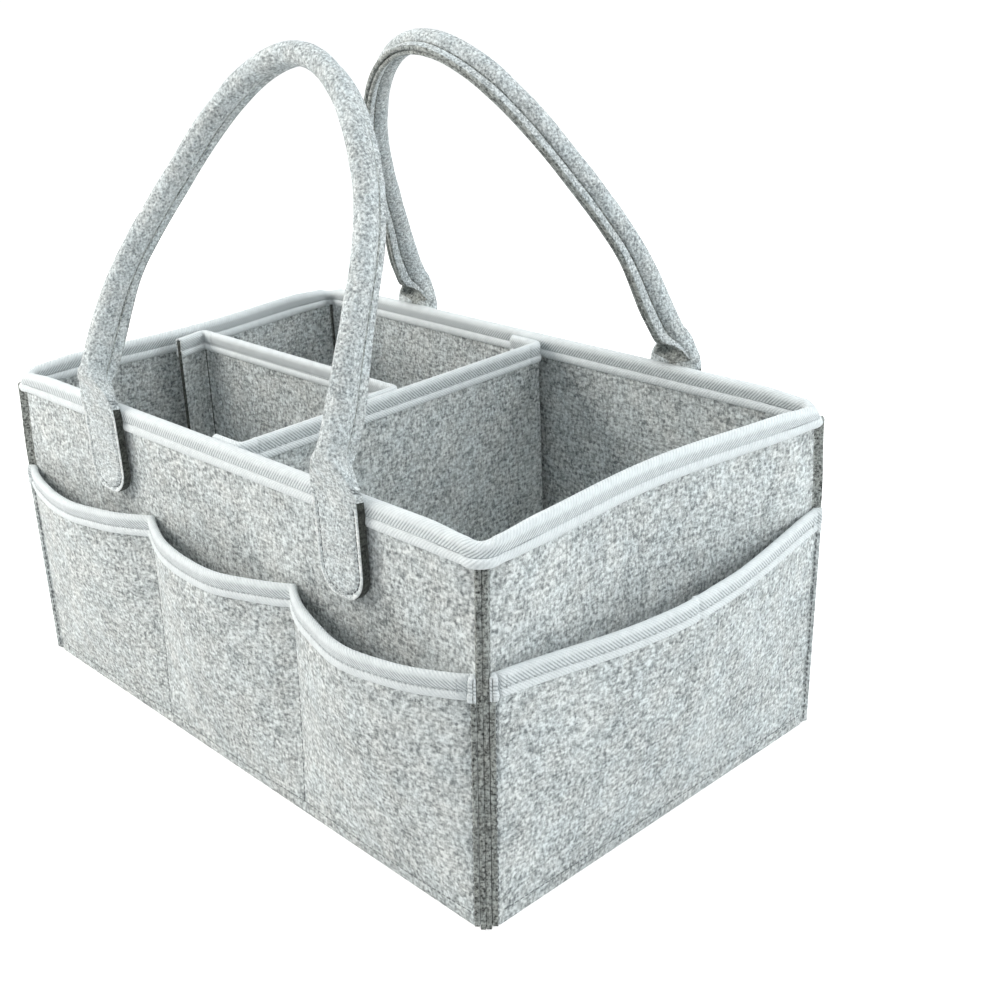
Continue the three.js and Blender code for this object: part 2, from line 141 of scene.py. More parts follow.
print("felt", FELT, "m thick, rim at", RIM_HEIGHT, "m")

# %% [markdown]
# ## How the box has settled
#
# Felt is stiff, but a sewn box is never true: a corner sinks, a wall bows in, a seam pulls. A
# lattice modifier could bend the pieces one by one. Here one small function moves any point of
# the box by the same soft amount, so that sheets and tapes that touch go on touching. The shift
# is given at the eight corners and fades between them, and above the rim it fades away. A divider
# is stiffer than the box and slides up past the rim, so all of it moves as its top edge does.

# %% Define the settling
CORNER_SHIFTS = {
    ("left", "front", "rim"): Vector((4, -2.2, -1.2)) * mm,
    ("right", "back", "rim"): Vector((3, 3, 0)) * mm,
    ("right", "front", "rim"): Vector((-2, 0, 0)) * mm,
    ("right", "front", "floor"): Vector((0.5, -9.5, 0)) * mm,
}
FRONT_BOW = 3 * mm
SETTLE_FADE = 40 * mm


def settled(point, stiff=False):
    across = min(max(point.x / BODY_LENGTH + 0.5, 0), 1)
    deep = min(max(point.y / BODY_WIDTH + 0.5, 0), 1)
    high = min(max(point.z / RIM_HEIGHT, 0), 1)
    level = 1 if stiff else high
    share = {"left": 1 - across, "right": across, "front": 1 - deep, "back": deep,
             "floor": 1 - level, "rim": level}
    shift = Vector((0, 0, 0))
    for corner, amount in CORNER_SHIFTS.items():
        shift += amount * math.prod(share[word] for word in corner)
    bow = math.sin(math.pi * across) * math.sin(math.pi * level) * (1 - deep)
    shift.y += FRONT_BOW * bow
    shift.z *= high if stiff else 1
    above = max(point.z - RIM_HEIGHT, 0)
    return point + shift * (1 - ease(above / SETTLE_FADE))


left_corner = Vector((-BODY_LENGTH / 2, -BODY_WIDTH / 2, RIM_HEIGHT))
print("front left rim corner sinks by", settled(left_corner).z - RIM_HEIGHT, "m")

# %% [markdown]
# ## A sheet of cloth from a grid
#
# Every felt panel and every tape starts as the same thing: a flat piece of cloth. The grid
# operator makes it, with one column of vertices for each stop along the cloth and one row for
# each stop across it, and then each vertex is carried to its place. The stops are distances on
# the flat cloth, so they also serve as its UV map, and a weave drawn on that map is never
# stretched. Where the cloth closes on itself, its two ends are merged.

# %% Define the cloth maker
MERGE = 1e-6


def cloth_grid(along, across):
    """A flat grid, and a function that tells the stops of a vertex before it is moved."""
    bm = bmesh.new()
    columns, rows = len(along) - 1, len(across) - 1
    bmesh.ops.create_grid(bm, x_segments=columns, y_segments=rows, size=0.5)

    def stop_of(vert):
        column = round((vert.co.x + 0.5) * columns)
        return along[column], across[round((vert.co.y + 0.5) * rows)]

    return bm, stop_of


def sewn_sheet(name, along, across, place, looped=False, turned=False, stiff=False, darker_faces=None):
    """A grid carried to place(). Where the last argument says so, faces take the second material, a
    darker felt that is partly painted shade.
    """
    bm, stop_of = cloth_grid(along, across)
    cloth_map = bm.loops.layers.uv.new("cloth")
    for face in bm.faces:
        for corner in face.loops:
            corner[cloth_map].uv = stop_of(corner.vert)
        middle = sum(abs(stop_of(vert)[0]) for vert in face.verts) / len(face.verts)
        face.material_index = int(darker_faces is not None and darker_faces(middle))
    for vert in bm.verts:
        vert.co = settled(place(*stop_of(vert)), stiff)
    if looped:
        bmesh.ops.remove_doubles(bm, verts=bm.verts, dist=MERGE)
    if turned:
        bmesh.ops.reverse_faces(bm, faces=bm.faces)
    return piece_from(name, bm)


def close_tube(bm):
    """Merge the long edges of a grid that was bent into a tube, and fill the tube's ends."""
    bmesh.ops.remove_doubles(bm, verts=bm.verts, dist=MERGE)
    bmesh.ops.holes_fill(bm, edges=[edge for edge in bm.edges if edge.is_boundary])
    bmesh.ops.recalc_face_normals(bm, faces=bm.faces)


print("points of cloth closer than", MERGE, "m are merged")

# %% [markdown]
# A grid becomes an object whose origin is the caddy's own. The solidify modifier gives a sheet its
# thickness, inward from the face that was modelled, and a bevel can soften its cut edges. The frame
# is then told which solid the piece replaces and which body carries it.

# %% Define how a piece is finished
def piece_from(name, bm):
    """Close a bmesh into a smooth-shaded object at the origin."""
    for face in bm.faces:
        face.smooth = True
    mesh = bpy.data.meshes.new(name)
    bm.to_mesh(mesh)
    bm.free()
    piece = bpy.data.objects.new(name, mesh)
    bpy.context.scene.collection.objects.link(piece)
    return piece


SOFT_EDGE, SHARP_ANGLE = 0.5 * mm, math.radians(55)


def thicken(piece, thickness, edge=SOFT_EDGE):
    """Give a sheet its thickness, inward from the modelled face, and soften its cut edges."""
    solid = piece.modifiers.new("cloth_thickness", "SOLIDIFY")
    solid.thickness = thickness
    solid.offset = -1
    solid.use_even_offset = True
    solid.material_offset_rim = 1
    if edge:
        soft = piece.modifiers.new("soft_edge", "BEVEL")
        soft.width = edge
        soft.segments = 2
        soft.limit_method = "ANGLE"
        soft.angle_limit = SHARP_ANGLE


def dress(piece, *materials):
    for material in materials:
        piece.data.materials.append(material)
    return piece


def belong(piece, node, body):
    """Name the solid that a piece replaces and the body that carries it."""
    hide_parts(node)
    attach(piece, body)


print("a sheet's cut edges are rounded by", SOFT_EDGE, "m")

# %% [markdown]
# ## Nodes for the materials
#
# All materials are procedural, so they are built from nodes. A few short functions add a node, feed
# its sockets and name the sums that come back most, so that each material below reads as a list of
# steps. Colours are given as a screen shows them and turned into linear light.

# %% Define the node helpers
def srgb(red, green, blue):
    """A colour as picked from a screen, turned into the linear light that shaders use."""
    def linear(value):
        value /= 255
        return value / 12.92 if value <= 0.04045 else ((value + 0.055) / 1.055) ** 2.4
    return (linear(red), linear(green), linear(blue), 1)


def feed(tree, socket, value):
    """Give an input socket a value, or link it to an output socket."""
    if isinstance(value, bpy.types.NodeSocket):
        tree.links.new(value, socket)
    else:
        socket.default_value = value


def add_node(tree, kind, inputs=(), **settings):
    """A node with its settings, and its inputs fed by their names or numbers."""
    made = tree.nodes.new(kind)
    for setting, value in settings.items():
        setattr(made, setting, value)
    for socket, value in dict(inputs).items():
        feed(tree, made.inputs[socket], value)
    return made


def calculate(tree, operation, *values):
    """A Math node on its values, each a socket or a number."""
    made = add_node(tree, "ShaderNodeMath", enumerate(values), operation=operation)
    return made.outputs[0]


def streaks(tree, coordinates, turn, stretch, detail):
    """Noise drawn out along one direction, as a tuft of fibres is."""
    lay = add_node(tree, "ShaderNodeMapping",
                   {"Vector": coordinates, "Rotation": turn, "Scale": stretch})
    tuft = add_node(tree, "ShaderNodeTexNoise", {"Vector": lay.outputs[0], "Scale": 1,
                                                 "Detail": detail, "Roughness": 0.6})
    return tuft.outputs[0]


def squeezed(tree, value, low, high):
    """Stretch the part of a value between low and high over nought to one."""
    made = add_node(tree, "ShaderNodeMapRange",
                    {"Value": value, "From Min": low, "From Max": high})
    return made.outputs[0]


def blended(tree, share, dark, pale, way="MIX"):
    """From the first colour to the second by a share."""
    made = add_node(tree, "ShaderNodeMix", data_type="RGBA", blend_type=way, clamp_factor=True)
    for socket, value in ((0, share), (6, dark), (7, pale)):
        feed(tree, made.inputs[socket], value)
    return made.outputs[2]


def node_group(name, inputs, outputs):
    """(a group, the sockets it is given, the sockets of its result), from titles and kinds."""
    group = bpy.data.node_groups.new(name, "ShaderNodeTree")
    for way, sockets in (("INPUT", inputs), ("OUTPUT", outputs)):
        for title, kind in sockets.items():
            group.interface.new_socket(title, in_out=way, socket_type=f"NodeSocket{kind}")
    given = add_node(group, "NodeGroupInput").outputs
    return group, given, add_node(group, "NodeGroupOutput").inputs


print("mid grey on a screen is", round(srgb(128, 128, 128)[0], 3), "in linear light")

# %% [markdown]
# ## Felt
#
# This felt is pressed from light and dark fibres, so close up it is a tangle of short pale and
# grey streaks, and from further off a soft grey with faint clouds. Three noise textures, each
# stretched along another direction, stand for the tangle. The longest streaks lie level, along the
# length and along the width, because the cloth was drawn that way when it was pressed. A node
# group holds it all, because the walls, the handles and the cut edges use the same felt with other
# shades.

# %% Build the felt group
def felt_fibres():
    group, given, result = node_group(
        "felt_fibres",
        {"Pale fibre": "Color", "Dark fibre": "Color", "Coarseness": "Float", "Clouds": "Float"},
        {"Color": "Color", "Roughness": "Float", "Height": "Float"})
    space = add_node(group, "ShaderNodeTexCoord").outputs["Object"]
    scaled = add_node(group, "ShaderNodeVectorMath", operation="SCALE",
                      inputs={0: space, "Scale": given["Coarseness"]})
    place = scaled.outputs[0]

    long_way = streaks(group, place, (0.1, 0.12, 0.1), (250, 740, 740), 2)
    cross_way = streaks(group, place, (0.12, 0.1, -0.1), (740, 250, 740), 2)
    upright = streaks(group, place, (0.4, -0.6, 0.5), (680, 680, 300), 2)
    specks = streaks(group, place, (0.9, 0.1, 0.3), (620, 620, 620), 2)
    clouds = streaks(group, place, (0.1, 0.2, 0.3), (42, 42, 42), 3)
    warmth = streaks(group, place, (0.7, 0.4, 0.1), (75, 75, 75), 2)

    tangle = calculate(group, "ADD", calculate(group, "ADD", long_way, cross_way), upright)
    fibres = squeezed(group, calculate(group, "DIVIDE", tangle, 3), 0.415, 0.585)
    flecks = squeezed(group, specks, 0.4, 0.58)
    shade = calculate(group, "ADD", calculate(group, "MULTIPLY", fibres, 0.72),
                      calculate(group, "MULTIPLY", flecks, 0.28))
    drift = calculate(group, "SUBTRACT", clouds, 0.5)
    drift = calculate(group, "MULTIPLY", drift, given["Clouds"])
    shade = calculate(group, "ADD", shade, drift)
    blend = blended(group, shade, given["Dark fibre"], given["Pale fibre"])
    tint = blended(group, squeezed(group, warmth, 0.35, 0.65), (0.98, 1, 1.005, 1),
                   (1.01, 1, 0.985, 1))
    feed(group, result["Color"], blended(group, 1, blend, tint, way="MULTIPLY"))
    feed(group, result["Roughness"], calculate(group, "MULTIPLY_ADD", fibres, 0.1, 0.86))
    feed(group, result["Height"],
         calculate(group, "ADD", fibres, calculate(group, "MULTIPLY", specks, 0.8)))
    return group


FELT_FIBRES = felt_fibres()
print("felt group with", len(FELT_FIBRES.nodes), "nodes")

# %% [markdown]
# The felt itself hardly shines, but its loose fibres catch light at a glancing angle, which is what
# the sheen of the Principled shader is for. The sheen is the same all over, so it is set on the
# shader's own socket. The cut edges show fibre ends, coarser and a little darker than the pressed
# face, and the same darker felt also paints the shade on the corner ridges' flanges. Three more
# felts paint light and shade on the handles and dividers: a darker one for the cut lips of the
# handle seam, which also paints the shade in its groove and mouth, a near-black one that is painted
# shade on the tabs' sides and on the dividers' cut edges and folds, and a very pale one that is a
# painted highlight along each tab's border.

# %% Make the felt materials
def new_material(name, settings):
    """(a material, its node tree, the sockets of its Principled shader), with some sockets set."""
    material = bpy.data.materials.new(name)
    material.use_nodes = True
    tree = material.node_tree
    shader = tree.nodes["Principled BSDF"].inputs
    for socket, value in settings.items():
        shader[socket].default_value = value
    return material, tree, shader


def bumped(tree, height, strength, depth):
    bump = add_node(tree, "ShaderNodeBump",
                    {"Height": height, "Strength": strength, "Distance": depth})
    return bump.outputs[0]


def felt_material(name, pale, dark, coarseness=1.0, clouds=0.35, nap=0.5):
    material, tree, shader = new_material(name, {
        "Sheen Weight": 0.12, "Sheen Roughness": 0.6, "Specular IOR Level": 0.2})
    fibres = add_node(tree, "ShaderNodeGroup", node_tree=FELT_FIBRES)
    for title, value in (("Pale fibre", pale), ("Dark fibre", dark),
                         ("Coarseness", coarseness), ("Clouds", clouds)):
        fibres.inputs[title].default_value = value
    for title, socket in (("Color", "Base Color"), ("Roughness", "Roughness")):
        feed(tree, shader[socket], fibres.outputs[title])
    feed(tree, shader["Normal"], bumped(tree, fibres.outputs["Height"], nap, 0.5 * mm))
    return material


BODY_FELT = felt_material("body_felt", srgb(239, 243, 243), srgb(117, 122, 123), 0.86, 0.55)
HANDLE_FELT = felt_material("handle_felt", srgb(240, 245, 246), srgb(126, 132, 134), 1.3)
# Darker felt for cut edges, which also paints the shade on the corner ridges' flanges.
CUT_EDGE_AND_SHADE = felt_material("cut_edge_and_shade_felt", srgb(192, 196, 192), srgb(34, 36, 34), 1.2, 0.2, 0.9)
# Darker felt for the handle seam's lips: their cut edges, and painted shade in the seam's valley
# and parted mouth.
SEAM_CUT_AND_SHADE = felt_material("seam_cut_and_shade_felt", srgb(206, 210, 207), srgb(72, 76, 74), 1.1, 0.2)
# Near-black felt that is painted shade: on the tabs' sides and on the dividers' cut edges and
# folds.
SHADE_FELT = felt_material("painted_shade_felt", srgb(92, 96, 90), srgb(6, 7, 6), 1.2, 0.2, 0.9)
# Very pale felt that is a painted highlight along the border of each tab.
HIGHLIGHT_FELT = felt_material("painted_highlight_felt", srgb(252, 254, 254), srgb(186, 192, 193), 1.3)
FELTS = (BODY_FELT, HANDLE_FELT, CUT_EDGE_AND_SHADE, SEAM_CUT_AND_SHADE, SHADE_FELT, HIGHLIGHT_FELT)
print("felt materials:", [felt.name for felt in FELTS])

# %% [markdown]
# ## Twill tape and thread
#
# The tape that binds the edges is a smooth cotton twill. Its weave runs in fine slanting ribs,
# about one to two millimetres. The ribs are a sine of the distance along plus the distance across
# the tape, read from the cloth map, so they turn round every corner with the tape. Between the fold
# and the stitches the tape is painted darker as shade, so its ribs show dark there, while the fold
# and the free lip below the stitches stay pale.

# %% Build the twill group
def twill_ribs():
    group, given, result = node_group(
        "twill_ribs",
        {"Rib": "Color", "Groove": "Color", "Ribs per metre": "Float", "Fold line": "Float"},
        {"Color": "Color", "Height": "Float"})
    cloth = add_node(group, "ShaderNodeTexCoord").outputs
    along, across, _ = add_node(group, "ShaderNodeSeparateXYZ", {0: cloth["UV"]}).outputs
    slant = calculate(group, "ADD", along, across)
    turns = calculate(group, "MULTIPLY", slant, given["Ribs per metre"])
    wave = calculate(group, "SINE", calculate(group, "MULTIPLY", turns, 2 * math.pi))
    ribs = squeezed(group, wave, -1, 0.4)
    weft = calculate(group, "MULTIPLY", along, 2400 * math.pi)
    picks = squeezed(group, calculate(group, "SINE", weft), -1, 1)
    wear = streaks(group, cloth["Object"], (0.2, 0.1, 0.4), (260, 260, 260), 2)
    from_fold = calculate(group, "SUBTRACT", across, given["Fold line"])
    from_fold = calculate(group, "ABSOLUTE", from_fold)
    # Painted shade: the band between the fold and the stitches is darkened, while the fold and the
    # lip below the stitches are not.
    shaded_band = calculate(group, "SUBTRACT", squeezed(group, from_fold, 3.2 * mm, 4.8 * mm),
                        squeezed(group, from_fold, 8.9 * mm, 9.5 * mm))
    hollow = calculate(group, "SUBTRACT", 1.15, ribs)
    depth = calculate(group, "ADD", calculate(group, "MULTIPLY", shaded_band, 0.65), 0.15)
    dark = calculate(group, "MULTIPLY", hollow, depth)
    wear_and_fold_shade = calculate(group, "MULTIPLY", calculate(group, "SUBTRACT", wear, 0.5), 0.5)
    shade = calculate(group, "ADD", calculate(group, "SUBTRACT", 0.98, dark), wear_and_fold_shade)
    feed(group, result["Color"], blended(group, shade, given["Groove"], given["Rib"]))
    feed(group, result["Height"],
         calculate(group, "ADD", ribs, calculate(group, "MULTIPLY", picks, 0.3)))
    return group


TWILL_RIBS = twill_ribs()
print("twill group with", len(TWILL_RIBS.nodes), "nodes")

# %% [markdown]
# The tape's material wraps that group. The sewing thread is two strands twisted together, and a
# tighter sine on Object coordinates gives its twist. The filler cord and the hook tape are made the
# same way, with wider bands.

# %% Make the tape, thread and hook materials
def tape_material(name, rib, groove, ribs_per_metre, fold_line, relief):
    material, tree, shader = new_material(name, {
        "Roughness": 0.62, "Sheen Weight": 0.08, "Specular IOR Level": 0.3})
    weave = add_node(tree, "ShaderNodeGroup", node_tree=TWILL_RIBS)
    for title, value in (("Rib", rib), ("Groove", groove),
                         ("Ribs per metre", ribs_per_metre), ("Fold line", fold_line)):
        weave.inputs[title].default_value = value
    feed(tree, shader["Base Color"], weave.outputs["Color"])
    feed(tree, shader["Normal"], bumped(tree, weave.outputs["Height"], relief, 0.25 * mm))
    return material


def strand_material(name, pale, dark, twists, roughness):
    """Thread, cord and hook tape: fine bands along Object coordinates, with a little wear."""
    material, tree, shader = new_material(name, {"Roughness": roughness})
    space = add_node(tree, "ShaderNodeTexCoord").outputs["Object"]
    parts = add_node(tree, "ShaderNodeSeparateXYZ", {0: space}).outputs
    slant = calculate(tree, "ADD", calculate(tree, "ADD", parts[0], parts[1]), parts[2])
    wave = calculate(tree, "SINE", calculate(tree, "MULTIPLY", slant, twists * 2 * math.pi))
    wear = streaks(tree, space, (0.3, 0.2, 0.1), (400, 400, 400), 1)
    shade = calculate(tree, "ADD", calculate(tree, "MULTIPLY", squeezed(tree, wave, -1, 1), 0.5),
                      calculate(tree, "MULTIPLY", wear, 0.5))
    feed(tree, shader["Base Color"], blended(tree, shade, dark, pale))
    feed(tree, shader["Normal"], bumped(tree, shade, 1, 0.2 * mm))
    return material


THREAD = strand_material("sewing_thread", srgb(226, 230, 231), srgb(176, 181, 183), 1600, 0.6)
# Dark grey thread, partly the thread's colour and partly painted shade of the grooves it is sewn
# into.
GREY_THREAD_AND_SHADE = strand_material("grey_thread_and_groove_shade", srgb(112, 117, 119), srgb(74, 78, 80), 1600, 0.7)
HOOK_TAPE = strand_material("hook_tape", srgb(205, 208, 209), srgb(150, 153, 155), 700, 0.5)
FILLER_CORD = strand_material("filler_cord", srgb(232, 230, 224), srgb(190, 187, 180), 250, 0.8)
print("strand materials:", THREAD.name, GREY_THREAD_AND_SHADE.name, HOOK_TAPE.name, FILLER_CORD.name)

# %% [markdown]
# ## Stitches
#
# A seam shows as a row of short thread floats. A texture of dashes would lie flat, so each float
# is a real bead: the smallest icosphere, twenty faces, drawn out along the seam and sunk a little
# into the cloth. A row takes a path of points with their outward directions, walks along it, and
# sets a bead at every pitch.

# %% Define the stitch rows
STITCH_PITCH, STITCH_LENGTH, THREAD_WIDTH = 3.2 * mm, 2.5 * mm, 0.75 * mm
FACES_PER_STITCH = 20


def sew(bm, path, pitch=STITCH_PITCH, length=STITCH_LENGTH, width=THREAD_WIDTH):
    """Set stitches along a path of (point, outward) pairs."""
    size = Matrix.Diagonal((length / 2, width / 2, width / 2, 1))
    carried = pitch / 2
    for (here, out_here), (there, out_there) in zip(path, path[1:]):
        step = (there - here).length
        run = (there - here).normalized()
        while carried <= step and step > 0:
            share = carried / step
            outward = out_here.lerp(out_there, share).normalized()
            side = outward.cross(run).normalized()
            turn = Matrix((run, side, run.cross(side))).transposed().to_4x4()
            bmesh.ops.create_icosphere(
                bm, subdivisions=1, radius=1,
                matrix=Matrix.Translation(here.lerp(there, share)) @ turn @ size)
            carried += pitch
        carried -= step


def seam_path(place, spots):
    """(point, outward) at each spot, where place() takes a spot and how far above it to go."""
    path = []
    for spot in spots:
        point, above = place(*spot, 0), place(*spot, mm)
        path.append((point, (above - point).normalized()))
    return path


def stitched_piece(name, bm, body, thread=THREAD):
    piece = dress(piece_from(name, bm), thread)
    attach(piece, body)
    print(name, len(piece.data.polygons) // FACES_PER_STITCH, "stitches")


print("a stitch every", STITCH_PITCH, "m")

# %% [markdown]
# ## The base
#
# The base is a felt panel laid flat, with its edge turned down and sewn into the bottom seam.
# It is a grid whose boundary edges are extruded downwards, like folding the rim of a paper tray,
# and a bevel rounds the fold. The thickness comes last.

# %% Make the base
base_length = BODY_LENGTH - 2 * (FELT + SEAT_GAP)
base_width = BODY_WIDTH - 2 * (FELT + SEAT_GAP)
BASE_FOLD, BASE_QUILT, QUILTS_PER_METRE = 2.2 * mm, 0.4 * mm, 30
bm = bmesh.new()
bmesh.ops.create_grid(bm, x_segments=48, y_segments=28, size=0.5)
bmesh.ops.scale(bm, vec=(base_length, base_width, 1), verts=bm.verts)
bmesh.ops.translate(bm, vec=(0, 0, BASE_TOP), verts=bm.verts)
border = [edge for edge in bm.edges if edge.is_boundary]
skirt = bmesh.ops.extrude_edge_only(bm, edges=border)["geom"]
skirt = [item for item in skirt if isinstance(item, bmesh.types.BMVert)]
bmesh.ops.translate(bm, vec=(0, 0, -BASE_TOP), verts=skirt)
bmesh.ops.recalc_face_normals(bm, faces=bm.faces)
folds = [edge for edge in bm.edges
         if len(edge.link_faces) == 2 and edge.calc_face_angle() > math.radians(60)]
bmesh.ops.bevel(bm, geom=folds, offset=BASE_FOLD, offset_type="OFFSET", segments=3,
                profile=0.5, affect="EDGES", material=-1)
bmesh.ops.recalc_face_normals(bm, faces=bm.faces)
highest = max(bm.faces, key=lambda face: face.calc_center_median().z)
if highest.normal.z < 0:
    bmesh.ops.reverse_faces(bm, faces=bm.faces)
for vert in bm.verts:
    quilt = noise.noise(vert.co * QUILTS_PER_METRE) * BASE_QUILT if vert.co.z > BASE_LIFT else 0
    vert.co = settled(vert.co + Vector((0, 0, min(quilt, 0))))
base = dress(piece_from("base_felt", bm), BODY_FELT, CUT_EDGE_AND_SHADE)
thicken(base, FELT)
belong(base, "base_panel", "caddy")
print("base", len(base.data.polygons), "faces before its thickness")

# %% [markdown]
# ## The walls
#
# Each wall is one sheet. At both corners its seam allowance turns outwards by 45 degrees and lies
# against its neighbour's, so every corner has an outside ridge. The felt's outer face is followed
# with a distance measured along the cloth, and three stretches answer it: the straight wall, the
# bend and the flange. The end walls lean in between their corners, where nothing holds them.

# %% Define the walls' line and lean
def seam_turn(side):
    """Where a wall's face starts to turn out into its corner seam."""
    fold_line = math.sqrt(2) * (SEAT_GAP / 2 + FELT)
    return side.length / 2 - fold_line - SEAM_BEND * math.tan(math.pi / 8)


BEND_RUN = SEAM_BEND * math.pi / 4
FLANGE_RUN = SEAM_ALLOWANCE + SEAT_GAP / 2 + FELT - SEAM_BEND * (math.sqrt(2) - 1)


def wall_station(side, run):
    """(along, out, direction along, direction out) on a wall's face, run along its felt."""
    hand = 1 if run >= 0 else -1
    turn = seam_turn(side)
    past = abs(run) - turn
    if past <= 0:
        return run, 0, 0, 1
    swing = min(past, BEND_RUN) / SEAM_BEND
    flat = max(past - BEND_RUN, 0) / math.sqrt(2)
    along = turn + SEAM_BEND * math.sin(swing) + flat
    out = SEAM_BEND * (1 - math.cos(swing)) + flat
    return hand * along, out, -hand * math.sin(swing), math.cos(swing)


def lean_in(side, along, z):
    """How far a wall leans in at a point between its corners."""
    straight = side.length / 2 - RIM_CORNER
    if abs(along) >= straight:
        return 0
    rise = max((z - BASE_TOP) / (RIM_HEIGHT - BASE_TOP), 0)
    return -side.lean * math.cos(along / straight * math.pi / 2) ** 2 * rise


def corner_stops(side):
    """Stops along the felt in a corner's bend and flange."""
    turn = seam_turn(side)
    return ([turn + share * BEND_RUN for share in (0.34, 0.67, 1)]
            + [turn + BEND_RUN + share * FLANGE_RUN for share in (0.5, 1)])


def both_ways(middle, end):
    """The stops of a middle stretch, with the same stops beyond both of its ends."""
    return [-stop for stop in reversed(end)] + middle + end


CORNER_DRAWS = {("front", -1): 3.6 * mm, ("right_end", 1): 3.6 * mm}
USUAL_DRAW = 1 * mm
DRAW_FROM, DRAW_REACH = 9 * mm, 10 * mm
DRAW_BELOW_RIM, DRAW_RISE = 50 * mm, 38 * mm


def corner_draw(name, run, z):
    """How far a corner ridge is drawn in, each way, as it goes up under the rim tape."""
    draw = CORNER_DRAWS.get((name, 1 if run > 0 else -1), USUAL_DRAW)
    near = ease((abs(run) - seam_turn(SIDES[name]) + DRAW_FROM) / DRAW_REACH)
    return draw * near * ease((z - RIM_HEIGHT + DRAW_BELOW_RIM) / DRAW_RISE)


print("corner flange", round(FLANGE_RUN / mm, 2), "mm beyond its bend")

# %% [markdown]
# Each wall's grid is carried along that line. Its flange is clipped a little short at the foot, is
# pressed against its neighbour's and ends under the rim tape. From about the middle of the bend on,
# the faces take the second material: a darker felt that stands for the rough side of the flange and
# also paints the shade on the ridge where the flange turns from the light.

# %% Make the walls
FLANGE_TOP = RIM_HEIGHT - TAPE_WIDTH + 3 * mm
FLANGE_CLIP, FLANGE_PRESS = 0.5 * mm, 0.12 * mm
# From this share of the bend on, a wall takes the darker felt, partly its rough side and partly
# painted shade on the ridge.
RIDGE_SHADE_SHARE = 0.45


def make_wall(name, side):
    straight, turn = side.length / 2 - RIM_CORNER, seam_turn(side)

    def place(run, share):
        along, out, push_along, push_out = wall_station(side, run)
        past = abs(run) - turn
        clipped = FLANGE_CLIP * ease((past - BEND_RUN) / FLANGE_RUN)
        z = mix(clipped, WALL_TOP if abs(along) < straight else FLANGE_TOP, share)
        lean = lean_in(side, along, z) - FLANGE_PRESS * ease(past / BEND_RUN)
        drawn = corner_draw(name, run, z)
        sideways = math.copysign(drawn, run)
        return on_side(side, along + push_along * lean - sideways, out + push_out * lean - drawn, z)

    steps = 56 if side.length == BODY_LENGTH else 36
    stops = both_ways(spread(-turn, turn, steps), corner_stops(side))
    # The bend and flange take the darker felt: rough side, and painted shade on the ridge.
    wall = sewn_sheet(f"{name}_wall_felt", stops, spread(0, 1, 26), place,
                      turned=True, darker_faces=lambda run: run > turn + RIDGE_SHADE_SHARE * BEND_RUN)
    dress(wall, BODY_FELT, CUT_EDGE_AND_SHADE)
    thicken(wall, FELT)
    belong(wall, f"{name}_wall", "caddy")
    return wall


WALLS = {name: make_wall(name, side) for name, side in SIDES.items()}
print("walls:", ", ".join(wall.name for wall in WALLS.values()))

# %% [markdown]
# ## Folded binding tape
#
# The same tape binds the rim, the pockets and the dividers. It is folded over the edge like a U
# turned down, and one row of stitches near its lower edge holds both legs. The thread pulls the
# tape in, so the leg has a shallow groove at the stitches and a small lip below. The section is a
# list of points on the tape's outer face, from the inner leg over the fold to the outer leg.

# %% Define the tape's section
LEG_SHAPE = ((3.0, 0.1), (4.2, 0.05), (5.4, -0.06), (6.4, -0.22), (7.0, -0.58), (7.5, -0.6),
             (8.0, -0.1), (8.6, 0.32), (9.4, 0.5), (10.3, 0.46), (11.0, 0.28), (11.4, 0.02),
             (11.5, -0.15))
STITCH_DROP = 7.25 * mm
STITCH_STAND = FOLD_OUTER - 0.45 * mm


def tape_section():
    """{run across the tape: (out from the felt's middle, drop from the fold)}."""
    fold = [(FOLD_OUTER * math.sin(turn), FOLD_OUTER * (1 - math.cos(turn)))
            for turn in spread(0, math.pi / 2, 5)]
    leg = fold + [(FOLD_OUTER + stand * mm, drop * mm) for drop, stand in LEG_SHAPE]
    both = [(-out, drop) for out, drop in reversed(leg[1:])] + leg
    section, run = {}, 0
    for i, (out, drop) in enumerate(both):
        if i:
            run += math.dist(both[i - 1], both[i])
        section[run] = (out, drop)
    return section


TAPE_SECTION = tape_section()
TAPE_RUN = max(TAPE_SECTION)
BINDING_TAPE = tape_material("binding_tape", srgb(233, 238, 239), srgb(160, 167, 170), 540,
                             TAPE_RUN / 2, 0.8)
print("tape", round(TAPE_RUN / mm, 1), "mm wide before it is folded")

# %% [markdown]
# ## The rim binding
#
# One tape runs round the whole top edge. Its line is the four walls' top edges with rounded
# corners between them. At each corner the fold is drawn down and the lower edge goes out over
# the ridge. It is a grid whose two ends are merged, then given the tape's thickness.

# %% Make the rim binding
def rim_stations():
    """{run round the rim: (side, along, out, turned)}, anticlockwise from the back right."""
    stations, run, before = {}, 0, None
    for name in ("back", "left_end", "front", "right_end"):
        side = SIDES[name]
        straight = side.length / 2 - RIM_CORNER
        steps = 60 if side.length == BODY_LENGTH else 40
        line = [(along, 0, 0) for along in spread(straight, -straight, steps)]
        for swing in spread(0, math.pi / 2, 8)[1:-1]:
            line.append((-straight - RIM_CORNER * math.sin(swing),
                         RIM_CORNER * (math.cos(swing) - 1), swing))
        for along, out, swing in line:
            here = on_side(side, along, out, 0)
            run += (here - before).length if before else 0
            before = here
            stations[run] = (side, along, out, swing)
    first = next(iter(stations.values()))
    run += (on_side(first[0], first[1], first[2], 0) - before).length
    stations[run] = first
    return stations


RIM = rim_stations()
FOLD_TUCK, LIP_FLARE = -0.6 * mm, 2.2 * mm
NEAR_CORNER, NEAR_DIP, CORNER_DIP = 24 * mm, 1.6 * mm, 3 * mm


